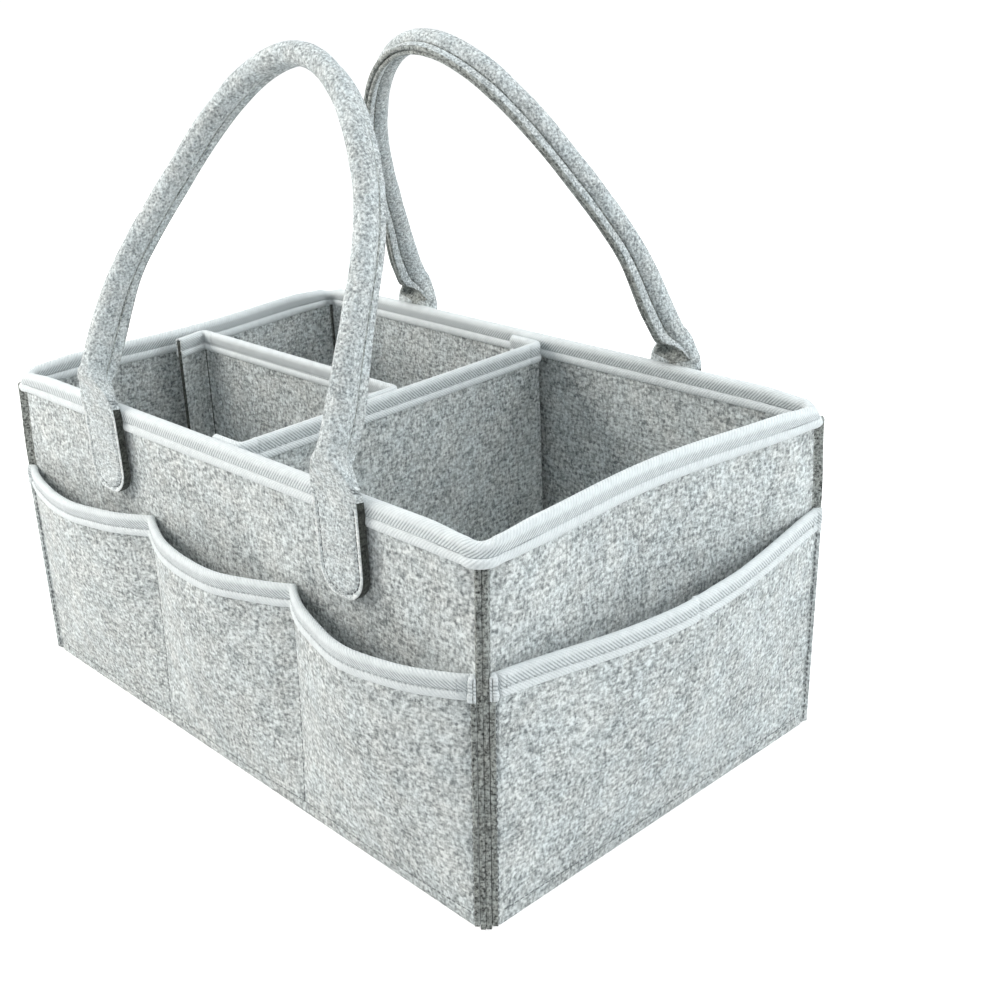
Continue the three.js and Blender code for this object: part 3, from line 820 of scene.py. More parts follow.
def on_rim(run, stand, drop):
    """A point by the rim: run round it, out from the felt's middle, down from the fold."""
    side, along, out, swing = RIM[run]
    z = RIM_HEIGHT - drop
    stand += lean_in(side, along, z) - FELT / 2
    corner, lower = math.sin(2 * swing), ease(drop / TAPE_WIDTH)
    stand += corner * mix(FOLD_TUCK, LIP_FLARE, lower)
    nearing = ease((abs(along) - side.length / 2 + RIM_CORNER + NEAR_CORNER) / NEAR_CORNER)
    z -= mix(NEAR_DIP * nearing, CORNER_DIP, corner) * (1 - lower)
    return on_side(side, along - math.sin(swing) * stand, out + math.cos(swing) * stand, z)


rim = sewn_sheet("rim_tape", list(RIM), list(TAPE_SECTION),
                 lambda run, across: on_rim(run, *TAPE_SECTION[across]), looped=True)
dress(rim, BINDING_TAPE)
thicken(rim, TAPE, edge=0)
belong(rim, "rim_binding", "caddy")
print("rim tape", round(max(RIM), 3), "m round")

# %% [markdown]
# One seam holds both legs of the tape, so a row of pale stitches shows on the outside and another
# on the inside.

# %% Sew the rim
bm = bmesh.new()
for hand in (1, -1):
    sew(bm, seam_path(lambda run, above: settled(
        on_rim(run, hand * (STITCH_STAND + above), STITCH_DROP)), [(run,) for run in RIM]))
stitched_piece("rim_stitches", bm, "caddy")

# %% [markdown]
# ## The pockets
#
# A pocket panel is one sheet per side, cut wider than the wall and sewn down between the pockets,
# so the spare cloth stands out at each mouth. The stand-out follows a sine between two seams and
# grows towards the mouth, and the mouth itself sags a little between its seams. No two pockets
# are quite alike, so each has its own stand-out, and each seam its own height. A little noise
# keeps the cloth from looking machined, and it dies away at the seams. Down the middle of each end
# panel runs the crease along which the empty caddy folds flat.

# %% Define the pockets' stand-out
POCKET_HEIGHT = 124 * mm
POCKET_TOP = POCKET_HEIGHT - FOLD_OUTER
PASSING_GAP = SEAT_GAP + FOLD_OUTER - FELT / 2
SEWN_GAP, SEWN_REACH = 0.05 * mm, 2 * mm
CRUMPLE, CREASE_DEPTH, CREASE_WIDTH = 1.4 * mm, 1.1 * mm, 1.1 * mm

Pockets = namedtuple("Pockets", "bulges lifts sag fullness")
POCKETS = {
    "front": Pockets((18 * mm, 16 * mm, 13.5 * mm), (-2.5 * mm, -1 * mm, 0, -1.8 * mm),
                     2.4 * mm, 0.85),
    "back": Pockets((15 * mm, 15 * mm, 15 * mm), (0, 1 * mm, 1 * mm, 0), 2 * mm, 0.85),
    "left_end": Pockets((15 * mm,), (0, 0), 2.5 * mm, 1.3),
    "right_end": Pockets((15 * mm,), (0.5 * mm, -2 * mm), 2.5 * mm, 1.3),
}


def pocket_share(name, along):
    """(which pocket, share of the way across it) at a place along a side."""
    count = len(POCKETS[name].bulges)
    share = min(max(along / seam_turn(SIDES[name]) / 2 + 0.5, 0), 1) * count
    index = min(int(share), count - 1)
    return index, share - index


def mouth_lift(name, along):
    """How far the mouth lies above its even height."""
    pockets = POCKETS[name]
    index, share = pocket_share(name, along)
    level = mix(pockets.lifts[index], pockets.lifts[index + 1], share)
    return level - pockets.sag * math.sin(share * math.pi)


def pocket_stand(name, along, z):
    """How far a pocket's inner face stands out from the wall's outer face."""
    side, pockets = SIDES[name], POCKETS[name]
    index, share = pocket_share(name, along)
    wave = abs(math.sin(share * math.pi)) ** pockets.fullness
    rise = math.sin(min(z / POCKET_HEIGHT, 1) * math.pi / 2)
    seat = mix(SEAT_GAP, PASSING_GAP, min(z / (POCKET_HEIGHT - TAPE_WIDTH), 1))
    seat = mix(seat, SEWN_GAP, ease((abs(along) - seam_turn(side)) / SEWN_REACH))
    crumple = noise.noise(Vector((along * 38 + side.reach * 91, z * 26, side.turn))) * CRUMPLE
    if len(pockets.bulges) == 1:
        crumple -= CREASE_DEPTH * math.exp(-(along / CREASE_WIDTH) ** 2)
    return seat + (pockets.bulges[index] + crumple) * wave * rise


def on_pocket(name, run, beyond, z):
    """A point by a pocket panel: run along its felt, beyond its inner face, and up."""
    side = SIDES[name]
    along, out, push_along, push_out = wall_station(side, run)
    stand = pocket_stand(name, along, z) + beyond
    lift = mouth_lift(name, along) * min(z / POCKET_HEIGHT, 1) ** 2
    return on_side(side, along + push_along * stand, out + push_out * stand, z + lift)


def pocket_stops(name):
    """Stops along a pocket panel, closer together at its seams and at its crease."""
    turn = seam_turn(SIDES[name])
    count = len(POCKETS[name].bulges)
    steps = 48 if count == 1 else 30
    width = 2 * turn / count
    shares = [(1 - math.cos(math.pi * share)) / 2 for share in spread(0, 1, steps)]
    shares = [mix(share, i / steps, 0.45) for i, share in enumerate(shares)]
    stops = [-turn + width * (pocket + share) for pocket in range(count)
             for share in shares[:-1]] + [turn]
    crease = [step * mm for step in (-2.4, -1.5, -0.7, 0.7, 1.5, 2.4)] if count == 1 else []
    return sorted(stops + crease)


print("pockets:", {name: len(pockets.bulges) for name, pockets in POCKETS.items()})

# %% [markdown]
# Each panel is a grid on that surface and rests on its wall. It is cut a little fuller than the
# wall. Its ends lie in the corner seams with the walls' flanges, and are clipped short at the foot.

# %% Make the pocket panels
PANEL_CLIP, FULL_CUT = 2.2 * mm, 1.03


def make_pocket(name):
    side = SIDES[name]
    turn = seam_turn(side)
    stops = both_ways(pocket_stops(name), corner_stops(side))

    def place(run, share):
        clipped = PANEL_CLIP * ease((abs(run) - turn) / (BEND_RUN + FLANGE_RUN))
        return on_pocket(name, run, FELT, mix(clipped, POCKET_TOP, share))

    panel = sewn_sheet(f"{name}_pocket_felt", stops, spread(0, 1, 30), place, turned=True)
    dress(panel, BODY_FELT, CUT_EDGE_AND_SHADE)
    thicken(panel, FELT)
    belong(panel, f"{name}_pocket_panel", "caddy")
    return panel


PANELS = {name: make_pocket(name) for name in POCKETS}
print("pocket panels:", ", ".join(panel.name for panel in PANELS.values()))

# %% [markdown]
# The mouth of each panel is bound with the same folded tape. Its legs follow the felt on both
# sides, so its section is carried along the panel's own face rather than straight down. At both
# ends it runs on over the panel's turned-out edge, where it closes over the felt as a small welt,
# and its inner leg is pressed thin between the panel and the wall.

# %% Make the pocket bindings
WELT_WIDTH, WELT_LAP, WELT_CLOSED = 3.4 * mm, 0.4 * mm, 0.15
PRESSED_LEG = -0.45 * FELT


def make_pocket_tape(name):
    side = SIDES[name]
    turn = seam_turn(side)
    end = turn + BEND_RUN + FLANGE_RUN
    stops = both_ways(pocket_stops(name), corner_stops(side) + [end + WELT_LAP])

    def place(run, across):
        out, drop = TAPE_SECTION[across]
        if out < 0:
            out = mix(out, max(out, PRESSED_LEG), ease((abs(run) - turn) / BEND_RUN))
        closing = WELT_CLOSED if abs(run) > end + WELT_LAP / 2 else 1
        return on_pocket(name, run, FELT / 2 + out * closing, POCKET_HEIGHT - drop)

    tape = sewn_sheet(f"{name}_pocket_tape", stops, list(TAPE_SECTION), place)
    dress(tape, BINDING_TAPE)
    thicken(tape, TAPE, edge=0)
    belong(tape, f"{name}_pocket_binding", "caddy")
    return tape


POCKET_TAPES = {name: make_pocket_tape(name) for name in POCKETS}
print("pocket tapes:", ", ".join(tape.name for tape in POCKET_TAPES.values()))

# %% [markdown]
# ## The seams of the box
#
# Thread shows in five places on the outside. On the pocket tapes, and beside the welts that end
# them, it is pale. Down the seams between the pockets, along the bottom and along the corner ridges
# it is dark grey and sinks into the felt; its darkness is partly the thread's own and partly
# painted shade of the groove it lies in, so those seams read as thin dark lines. All of them are
# rows of the same bead.

# %% Sew the pockets and the box
def outside_path(name, runs_and_heights, stand):
    """Points with their outward directions on the outside of a pocket panel."""
    return seam_path(lambda run, z, above: settled(on_pocket(name, run, stand + above, z)),
                     runs_and_heights)


LOCK_LOW, LOCK_HIGH = POCKET_HEIGHT - 11 * mm, POCKET_HEIGHT - 1.5 * mm
LOCK_PITCH, LOCK_STITCH = 2.4 * mm, 1.9 * mm
SEAM_LOW, HEM_HEIGHT, RIDGE_LOW = 6 * mm, 6.5 * mm, 3 * mm
LONG_STITCH, SEAM_THREAD, HEM_THREAD = 3 * mm, 0.6 * mm, 0.55 * mm
pockets_bm, box_bm = bmesh.new(), bmesh.new()
for name, side in SIDES.items():
    turn = seam_turn(side)
    fine = spread(-turn + mm, turn - mm, 240)
    mouth = POCKET_HEIGHT - STITCH_DROP
    sew(pockets_bm, outside_path(name, [(run, mouth) for run in fine],
                                 FELT / 2 + STITCH_STAND))
    for lock in (-turn + WELT_WIDTH, turn - WELT_WIDTH):
        bar = [(lock, z) for z in spread(LOCK_LOW, LOCK_HIGH, 8)]
        sew(pockets_bm, outside_path(name, bar, FELT / 2 + FOLD_OUTER), LOCK_PITCH, LOCK_STITCH)
    count = len(POCKETS[name].bulges)
    for seam in range(1, count):
        run = -turn + 2 * turn * seam / count
        line = [(run, z) for z in spread(SEAM_LOW, POCKET_HEIGHT - 2 * mm, 60)]
        sew(box_bm, outside_path(name, line, FELT + 0.05 * mm), length=LONG_STITCH,
            width=SEAM_THREAD)
    hem = [(run, HEM_HEIGHT) for run in fine]
    sew(box_bm, outside_path(name, hem, FELT + 0.02 * mm), length=LONG_STITCH, width=HEM_THREAD)
    ridge = turn + BEND_RUN + 0.35 * FLANGE_RUN
    for run in (-ridge, ridge):
        low = [(run, z) for z in spread(RIDGE_LOW, POCKET_TOP, 40)]
        sew(box_bm, outside_path(name, low, FELT + 0.1 * mm))
stitched_piece("pocket_stitches", pockets_bm, "caddy")
stitched_piece("box_stitches", box_bm, "caddy", GREY_THREAD_AND_SHADE)

# %% [markdown]
# ## The handles
#
# A handle is one long strip of felt. In the middle it is rolled into a tube round a filler cord,
# and its edges are sewn side by side into a narrow flange on the inner side. Towards each end the
# seam stops, the edges part like lips and the strip opens out flat, turns down over the rim and
# is sewn to the wall as a rounded tab. One grid serves for all of it: columns along the strip,
# rows round its section, and the section changes on the way from a flat oval to a circle with a
# flange. The two handles are sewn on by hand, so each has its own lean and place, and each foot
# its own shift. Above the rim the stiff felt stands up nearly straight before the handle leans in,
# so the line bulges outward there, and the tube is a little wider than at the top.

# %% Define the handle's line
HANDLE_SPAN, HANDLE_RISE = 203 * mm, 185.3 * mm
ARCH_SHOULDER, ARCH_CROWN = 98 * mm, 52 * mm
HANDLE_LEANS = {"front": math.radians(23.2), "back": math.radians(24.6)}
HANDLE_SHIFTS = {"front": -5 * mm, "back": -0.5 * mm}
FOOT_SHIFTS = {"front": {-1: 1.5 * mm, 1: -4.5 * mm}, "back": {-1: -7.5 * mm, 1: -5.5 * mm}}
FOOT_BULGES = {"front": 8.5 * mm, "back": 6.5 * mm}
BULGE_RISE, BULGE_TOP, BULGE_FADE, FOOT_FADE = 14 * mm, 50 * mm, 85 * mm, 130 * mm
TUBE_RADIUS, SEAM_FLANGE, FLARE_LENGTH = 5.7 * mm, 4.5 * mm, 18 * mm
TAB_WIDTH, TAB_CORNER = 31.5 * mm, 14.5 * mm
TAB_LOW, FOLD_HEIGHT = 131 * mm, RIM_HEIGHT + 2 * mm
CORD_RADIUS = 2.7 * mm
TAB_THICKNESS = 2 * FELT + SEAT_GAP
TAB_FACE = SEAT_GAP + FOLD_OUTER - FELT / 2 + TAB_THICKNESS
TAB_RUN = FOLD_HEIGHT - TAB_LOW
FOLD_ROUND = 8 * mm
SEAM_START = TAB_RUN + 1.25 * FLARE_LENGTH


def arch_samples(steps=400):
    """(distance along, across, up) along the arch, left foot to right foot."""
    foot = HANDLE_SPAN / 2
    half = []
    for share in spread(0, 1, steps):
        keep = 1 - share
        weights = (keep ** 3, 3 * keep ** 2 * share, 3 * keep * share ** 2, share ** 3)
        across = (-foot, -foot, -ARCH_CROWN, 0)
        up = (0, ARCH_SHOULDER, HANDLE_RISE, HANDLE_RISE)
        half.append((sum(w * x for w, x in zip(weights, across)),
                     sum(w * z for w, z in zip(weights, up))))
    line = half + [(-x, z) for x, z in reversed(half[:-1])]
    samples, run = [], 0
    for i, point in enumerate(line):
        run += math.dist(line[i - 1], point) if i else 0
        samples.append((run, *point))
    return samples


ARCH = arch_samples()
ARCH_RUN = ARCH[-1][0]
HANDLE_RUN = ARCH_RUN + 2 * TAB_RUN


def arch_at(run):
    """(across, up, tangent across, tangent up) at a distance along the arch."""
    run = min(max(run, 0), ARCH_RUN)
    i = next((i for i in range(1, len(ARCH)) if ARCH[i][0] >= run), len(ARCH) - 1)
    before, after = ARCH[i - 1], ARCH[i]
    share = (run - before[0]) / (after[0] - before[0])
    step = math.hypot(after[1] - before[1], after[2] - before[2])
    return (mix(before[1], after[1], share), mix(before[2], after[2], share),
            (after[1] - before[1]) / step, (after[2] - before[2]) / step)


def strip_centre(name, run):
    """The middle of the strip, in a long wall's frame, before its fold is rounded."""
    ahead = min(run, HANDLE_RUN - run)
    hand = -1 if run < HANDLE_RUN / 2 else 1
    lean, shift, foot = HANDLE_LEANS[name], HANDLE_SHIFTS[name], FOOT_SHIFTS[name][hand]
    if ahead <= TAB_RUN:
        return Vector((hand * HANDLE_SPAN / 2 + shift + foot, TAB_FACE - TAB_THICKNESS / 2,
                       TAB_LOW + ahead))
    across, up, _, _ = arch_at(run - TAB_RUN)
    shift += foot * (1 - ease(up / FOOT_FADE))
    bulge = FOOT_BULGES[name] * ease(up / BULGE_RISE) * (1 - ease((up - BULGE_TOP) / BULGE_FADE))
    inside = TAB_THICKNESS / 2 - bulge
    return Vector((across + shift,
                   TAB_FACE - inside * math.cos(lean) - up * math.sin(lean),
                   FOLD_HEIGHT - inside * math.sin(lean) + up * math.cos(lean)))


print("handle strip", round(HANDLE_RUN, 3), "m long")

# %% [markdown]
# At the fold the strip turns from upright to leaning, so the line there is rounded with a short
# curve through three points. The section needs two directions at every place: across the strip
# and out of its face.

# %% Define the strip's frame
def strip_frame(name, run):
    """(centre, across, outward, roll, distance from the tab's end) along the strip."""
    ahead = min(run, HANDLE_RUN - run)
    near = (ahead - TAB_RUN) / FOLD_ROUND
    centre = strip_centre(name, run)
    if abs(near) < 1:
        turned = run > HANDLE_RUN / 2
        marks = [TAB_RUN - FOLD_ROUND, TAB_RUN, TAB_RUN + FOLD_ROUND]
        first, fold, last = (strip_centre(name, HANDLE_RUN - m if turned else m) for m in marks)
        share = (near + 1) / 2
        centre = first * (1 - share) ** 2 + fold * 2 * share * (1 - share) + last * share ** 2
    lean = HANDLE_LEANS[name] * ease((near + 1) / 2)
    rise = Vector((0, -math.sin(lean), math.cos(lean)))
    outward = Vector((0, math.cos(lean), math.sin(lean)))
    _, _, along_across, along_up = arch_at(run - TAB_RUN)
    across = Vector((1, 0, 0)) * along_up - rise * along_across
    roll = ease((ahead - TAB_RUN) / FLARE_LENGTH)
    return centre, across, outward, roll, ahead


print("each foot folds over", round(2 * FOLD_ROUND, 4), "m of its strip")

# %% [markdown]
# The section is worked out in its own plane, across the strip and out of it. A superellipse gives
# the flat tab and the round tube alike, as its power falls from twelve to two. Two lips close it:
# along the tube they stand side by side as the seam flange, and where the seam stops they part. On
# the tab, the stitches pull a groove into the outer face.

# %% Define the strip's section
ROUND_STEPS = 72
LEG_SPARE, LEG_FULL, LEG_FADE = 1.0 * mm, 25 * mm, 60 * mm
TAB_SQUARE, TUBE_ROUND = 12, 2
LIP_PARTING, LIP_EDGE, LIP_GAP, LIP_SHARE = 4 * mm, 0.7 * mm, 0.45 * mm, 0.86
SEWN_GROOVE = 0.6 * mm
TAB_GROOVE, GROOVE_DEPTH, GROOVE_WIDTH, GROOVE_FADE = 3.0 * mm, 1.2 * mm, 0.9 * mm, 8 * mm
BLUNT_END, BLUNT_RUN = 0.62, 1.5 * mm


def tab_half(ahead):
    """Half the tab's width, which narrows round its rounded end."""
    half = TAB_WIDTH / 2
    if ahead >= TAB_CORNER:
        return half
    return half - TAB_CORNER + math.sqrt(TAB_CORNER ** 2 - (TAB_CORNER - ahead) ** 2)


def tab_inset(across, ahead):
    """How far a point of the tab lies inside its outline."""
    inner = TAB_WIDTH / 2 - TAB_CORNER
    if ahead < TAB_CORNER and abs(across) > inner:
        return TAB_CORNER - math.hypot(abs(across) - inner, TAB_CORNER - ahead)
    return min(TAB_WIDTH / 2 - abs(across), ahead)


def low_leg(ahead):
    """How much wider the tube is than at the top of the arch."""
    return LEG_SPARE * (1 - ease((ahead - TAB_RUN - LEG_FULL) / LEG_FADE))


def squareness(roll):
    """From a nearly square-edged tab to a round tube."""
    return mix(TAB_SQUARE, TUBE_ROUND, roll ** 0.5)


def lip_points(half_wide, half_deep, roll, ahead):
    """(half the width at the seam, points round the seam's lips) of one section."""
    past = ahead - TAB_RUN
    parted = ease(past / LIP_PARTING) * (1 - ease((past / FLARE_LENGTH - 0.45) / 0.75))
    root = min(mix(SEAT_GAP / 2 + FELT, LIP_SHARE * half_wide, parted), LIP_SHARE * half_wide)
    tip = -half_deep - (SEAM_FLANGE + 2 * low_leg(ahead)) * roll * (1 - 0.6 * parted)
    edge = LIP_EDGE * roll
    inner = max(root - FELT, LIP_GAP * roll)
    floor = mix(tip + 4 * edge, half_deep - 1.2 * FELT, parted)
    mouth = [(share * inner, floor) for share in (-0.75, -0.4, 0, 0.4, 0.75)]
    square = squareness(roll)
    start = -half_deep * (1 - (root / half_wide) ** square) ** (1 / square)
    sewn = SEWN_GROOVE * roll * (1 - parted)
    left = [(-root + sewn, start - 0.5 * sewn), (-root, start - 1.7 * sewn),
            (-root, tip + edge), (-root + edge, tip), (-inner, tip)]
    return root, left + mouth + [(-across, out) for across, out in reversed(left)]


def strip_section(step, roll, ahead):
    """(across, out) of one step round the strip's section, from one lip of the seam round."""
    tube = TUBE_RADIUS + low_leg(ahead)
    half_wide = mix(tab_half(ahead), tube, roll)
    blunt = mix(BLUNT_END, 1, min(ahead / BLUNT_RUN, 1))
    half_deep = mix(TAB_THICKNESS / 2 * blunt, tube, roll)
    root, lips = lip_points(half_wide, half_deep, roll, ahead)
    if step > ROUND_STEPS:
        return lips[step - ROUND_STEPS - 1]
    even = squareness(roll) / 2
    start = (math.asin((root / half_wide) ** even) / (math.pi / 2)) ** (1 / even)
    quarter = mix(start, 4 - start, step / ROUND_STEPS)
    turn = math.pi / 2 * (1 - abs(quarter % 2 - 1)) ** even
    across = math.copysign(half_wide * math.sin(turn) ** (1 / even), 2 - quarter)
    out = math.copysign(half_deep * math.cos(turn) ** (1 / even), 1 - abs(quarter - 2))
    if out > 0:
        inset = tab_inset(across, ahead)
        pull = math.exp(-((inset - TAB_GROOVE) / GROOVE_WIDTH) ** 2)
        out -= GROOVE_DEPTH * pull * (1 - roll) * ease((TAB_RUN - ahead) / GROOVE_FADE)
    return across, out


LIP_STEPS = len(lip_points(TUBE_RADIUS, TUBE_RADIUS, 1, HANDLE_RUN / 2)[1])
SECTION_STEPS = list(range(ROUND_STEPS + 1 + LIP_STEPS)) + [0]
print("strip section of", len(SECTION_STEPS) - 1, "steps")

# %% [markdown]
# A point of the strip's skin is a step of the section, set into the frame at its place along the
# strip. A little noise creases the tube, and the tabs are moved sideways as they go down.

# %% Define the strip's skin
SKIN_CREASE = 0.5 * mm
TAB_SLANTS = {"front": {-1: 1 * mm, 1: -1 * mm}, "back": {-1: 0, 1: 0}}


def slanted(name, hand, local):
    """A tab's point moved sideways, because no tab is sewn on quite upright."""
    drop = max(FOLD_HEIGHT - local.z, 0) / TAB_RUN
    return Vector((local.x - TAB_SLANTS[name][hand] * drop, local.y, local.z))


def on_strip(name, run, step):
    """A point on the strip's skin, in the caddy's frame."""
    centre, across, outward, roll, ahead = strip_frame(name, run)
    wide, deep = strip_section(step, roll, ahead)
    local = centre + across * wide + outward * deep
    local += outward * noise.noise(Vector((run * 60, step * 0.21, 7.3))) * SKIN_CREASE * roll
    local = slanted(name, -1 if run < HANDLE_RUN / 2 else 1, local)
    return settled(on_side(SIDES[name], local.x, local.y, local.z))


crown = on_strip("front", HANDLE_RUN / 2, 0)
print("the front handle's crown is about", round(crown.z, 2), "m above the floor")

# %% [markdown]
# The strip's grid is closed round its section by merging, and the two ends are filled. The faces
# below the fold that face sideways, mostly the sides of the tabs, take the second material, a
# near-black felt that is painted shade. The border of a tab takes the third, a very pale felt that
# is a painted highlight, and the groove and the lips of the seam take the fourth, a darker felt for
# their cut edges and for painted shade in the seam's valley and parted mouth. The strip stays in
# the caddy's frame, without a body of its own.

# %% Make the handles
def strip_stops():
    tab = spread(0, 2.4 * mm, 4)[:-1] + spread(2.4 * mm, TAB_RUN - FOLD_ROUND, 34)[:-1]
    fold = spread(TAB_RUN - FOLD_ROUND, TAB_RUN + FOLD_ROUND, 14)[:-1]
    flare = spread(TAB_RUN + FOLD_ROUND, TAB_RUN + FLARE_LENGTH, 14)[:-1]
    rising = tab + fold + flare
    over = spread(TAB_RUN + FLARE_LENGTH, HANDLE_RUN - TAB_RUN - FLARE_LENGTH, 130)
    return rising + over + [HANDLE_RUN - stop for stop in reversed(rising)]


def strip_material(run, step):
    """0 for the felt's face, 2 for the painted highlight on a tab's border, 3 for the seam's groove
    and lips, darker for cut edges and painted shade.
    """
    seam, ahead = step - ROUND_STEPS, min(run, HANDLE_RUN - run)
    if seam > 0:
        return 0 if 2 < min(seam, LIP_STEPS + 1 - seam) < 3 else 3
    if ahead > TAB_RUN - 5 * mm:
        return 0
    across, out = strip_section(step, 0, ahead)
    return 2 if out > 0 and tab_inset(across, ahead) < BORDER_WIDTH else 0


# How far the painted highlight reaches in from a tab's edge, and how sideways a face must be to
# take painted shade.
BORDER_WIDTH, SIDE_SLOPE = 1.7 * mm, 0.6


def make_handle(name):
    last_row = len(SECTION_STEPS) - 1
    bm, stop_of = cloth_grid(strip_stops(), list(enumerate(SECTION_STEPS)))
    cloth_map = bm.loops.layers.uv.new("cloth")
    girth = 2 * math.pi * TUBE_RADIUS
    for face in bm.faces:
        spots = [(run, row) for run, (row, _) in map(stop_of, face.verts)]
        face.material_index = strip_material(*(sum(s) / len(spots) for s in zip(*spots)))
        for corner in face.loops:
            run, (row, _) = stop_of(corner.vert)
            corner[cloth_map].uv = (run, row / last_row * girth)
    for vert in bm.verts:
        run, (_, step) = stop_of(vert)
        vert.co = on_strip(name, run, step)
    close_tube(bm)
    # Sideways faces below the fold, mostly the tabs' sides, take near-black felt: painted shade.
    for face in bm.faces:
        below = face.calc_center_median().z < FOLD_HEIGHT - 3 * mm
        if below and abs(face.normal.y) < SIDE_SLOPE:
            face.material_index = 1
    handle = dress(piece_from(f"{name}_handle_felt", bm),
                   HANDLE_FELT, SHADE_FELT, HIGHLIGHT_FELT, SEAM_CUT_AND_SHADE)
    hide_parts(f"{name}_handle_sleeve", f"{name}_left_tab", f"{name}_right_tab")
    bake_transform(handle)
    return handle


HANDLES = {name: make_handle(name) for name in ("front", "back")}
print("handles:", [len(handle.data.polygons) for handle in HANDLES.values()], "faces")

# %% [markdown]
# A filler cord keeps the tube round. It is a plain tube of its own, laid along the middle of the
# strip as far as the seam is closed, and it swings with its handle.

# %% Lay the filler cords
def make_cord(name):
    """The filler cord, laid along the middle of its handle's tube."""
    bm, stop_of = cloth_grid(spread(SEAM_START, HANDLE_RUN - SEAM_START, 90),
                             spread(0, 2 * math.pi, 12))
    for vert in bm.verts:
        run, turn = stop_of(vert)
        centre, across, outward, _, _ = strip_frame(name, run)
        local = centre + (across * math.cos(turn) + outward * math.sin(turn)) * CORD_RADIUS
        vert.co = settled(on_side(SIDES[name], *local))
    close_tube(bm)
    cord = dress(piece_from(f"{name}_handle_cord", bm), FILLER_CORD)
    belong(cord, f"{name}_handle_core", f"{name}_handle")


for name in HANDLES:
    make_cord(name)
print("filler cords", round(HANDLE_RUN - 2 * SEAM_START, 3), "m long")

# %% [markdown]
# Each tab is sewn round its edge in the shape of a D with a dark grey thread that sinks into a
# groove, and a pale second line crosses its middle. Along the tube a row of the same dark stitches
# lies in the groove on each side of the seam flange. The dark thread is partly painted shade of
# these grooves.

# %% Sew the handles
def on_tab(name, hand, across, ahead, stand):
    """A point on a tab's outer face, from its middle and its rounded end."""
    middle = hand * HANDLE_SPAN / 2 + HANDLE_SHIFTS[name] + FOOT_SHIFTS[name][hand]
    local = slanted(name, hand, Vector((middle + across, TAB_FACE + stand, TAB_LOW + ahead)))
    return settled(on_side(SIDES[name], local.x, local.y, local.z))


def tab_outline(inset, top):
    """(across, ahead) along the D of a tab, inside its outline by an inset."""
    half, corner = TAB_WIDTH / 2 - inset, TAB_CORNER - inset
    side = [(-half, ahead) for ahead in spread(top, TAB_CORNER, 20)]
    bend = [(-half + corner - corner * math.cos(turn), TAB_CORNER - corner * math.sin(turn))
            for turn in spread(0, math.pi / 2, 14)]
    left = side + bend[1:]
    return left + [(-across, ahead) for across, ahead in reversed(left)]


TAB_PITCH, TAB_STITCH, SEAM_PITCH = 2.8 * mm, 2.4 * mm, 3.0 * mm
tabs_bm, grooves_bm = bmesh.new(), bmesh.new()
d_line = tab_outline(TAB_GROOVE, TAB_RUN - 6 * mm)
middle = [(across, TAB_RUN * 0.45) for across in spread(-12 * mm, 12 * mm, 12)]
for name in HANDLES:
    for hand in (-1, 1):
        for bm, line, sunk in ((grooves_bm, d_line, -1 * mm), (tabs_bm, middle, -0.05 * mm)):
            path = seam_path(lambda across, ahead, above: on_tab(
                name, hand, across, ahead, sunk + above), line)
            sew(bm, path, TAB_PITCH, TAB_STITCH)
stitched_piece("tab_stitches", tabs_bm, "caddy")
stitched_piece("tab_groove_stitches", grooves_bm, "caddy", GREY_THREAD_AND_SHADE)

# Dark stitches beside the seam flange, partly painted shade of the valley there.
for name in HANDLES:
    seam_bm = bmesh.new()
    runs = spread(SEAM_START, HANDLE_RUN - SEAM_START, 260)
    for groove, hand in ((ROUND_STEPS + 1, -1), (ROUND_STEPS + LIP_STEPS, 1)):
        path = []
        for run in runs:
            _, across, _, _, _ = strip_frame(name, run)
            out = on_side(SIDES[name], *(across * hand)) - on_side(SIDES[name], 0, 0, 0)
            path.append((on_strip(name, run, groove), out.normalized()))
        sew(seam_bm, path, SEAM_PITCH)
    stitched_piece(f"{name}_handle_stitches", seam_bm, f"{name}_handle",
                   GREY_THREAD_AND_SHADE)

# %% [markdown]
# ## The dividers
#
# Each divider is a felt sheet with its two ends turned to one side as flanges. Strips of hook tape
# on the flanges grip the felt of the walls, so the dividers pull off and lift out. The sheet is
# followed by a distance along its cloth, as the walls are, and the same folded tape binds its top.
# Beside each fold a pressed crease runs down the sheet, and a thin line of near-black felt, painted
# shade, runs down the fold itself; the sheet's cut edges take the same painted shade.
# One flange of the long divider is turned a little too far, so its raw edge stands off the wall.

# %% Define the dividers' line
CROSS_X, CROSS_SLANT, LONG_Y = 10.5 * mm, 7 * mm, 0.0
DIVIDER_FLANGE, DIVIDER_BEND = 22 * mm, 2 * mm + FELT
DIVIDER_TOP = RIM_HEIGHT - 1 * mm
DIVIDER_LOW = BASE_TOP + SEAT_GAP
HOOK_THICKNESS, HOOK_WIDTH, HOOK_HEIGHT = 1.5 * mm, 12 * mm, 110 * mm
HOOK_SEAT = HOOK_THICKNESS + 2 * SEAT_GAP + 1.0 * mm
DIVIDER_ARC = DIVIDER_BEND * math.pi / 2
PRESS_FROM_FOLD, PRESS_DEPTH, PRESS_WIDTH = 6 * mm, 0.7 * mm, 0.9 * mm
# Where the painted line of fold shade lies in the bend, and how wide it is.
FOLD_SHADE_SHARE, FOLD_SHADE_WIDTH = 5 / 12, 0.3 * mm
SLIDE_GAP, LONG_GAP = 1.8 * mm, 4 * mm

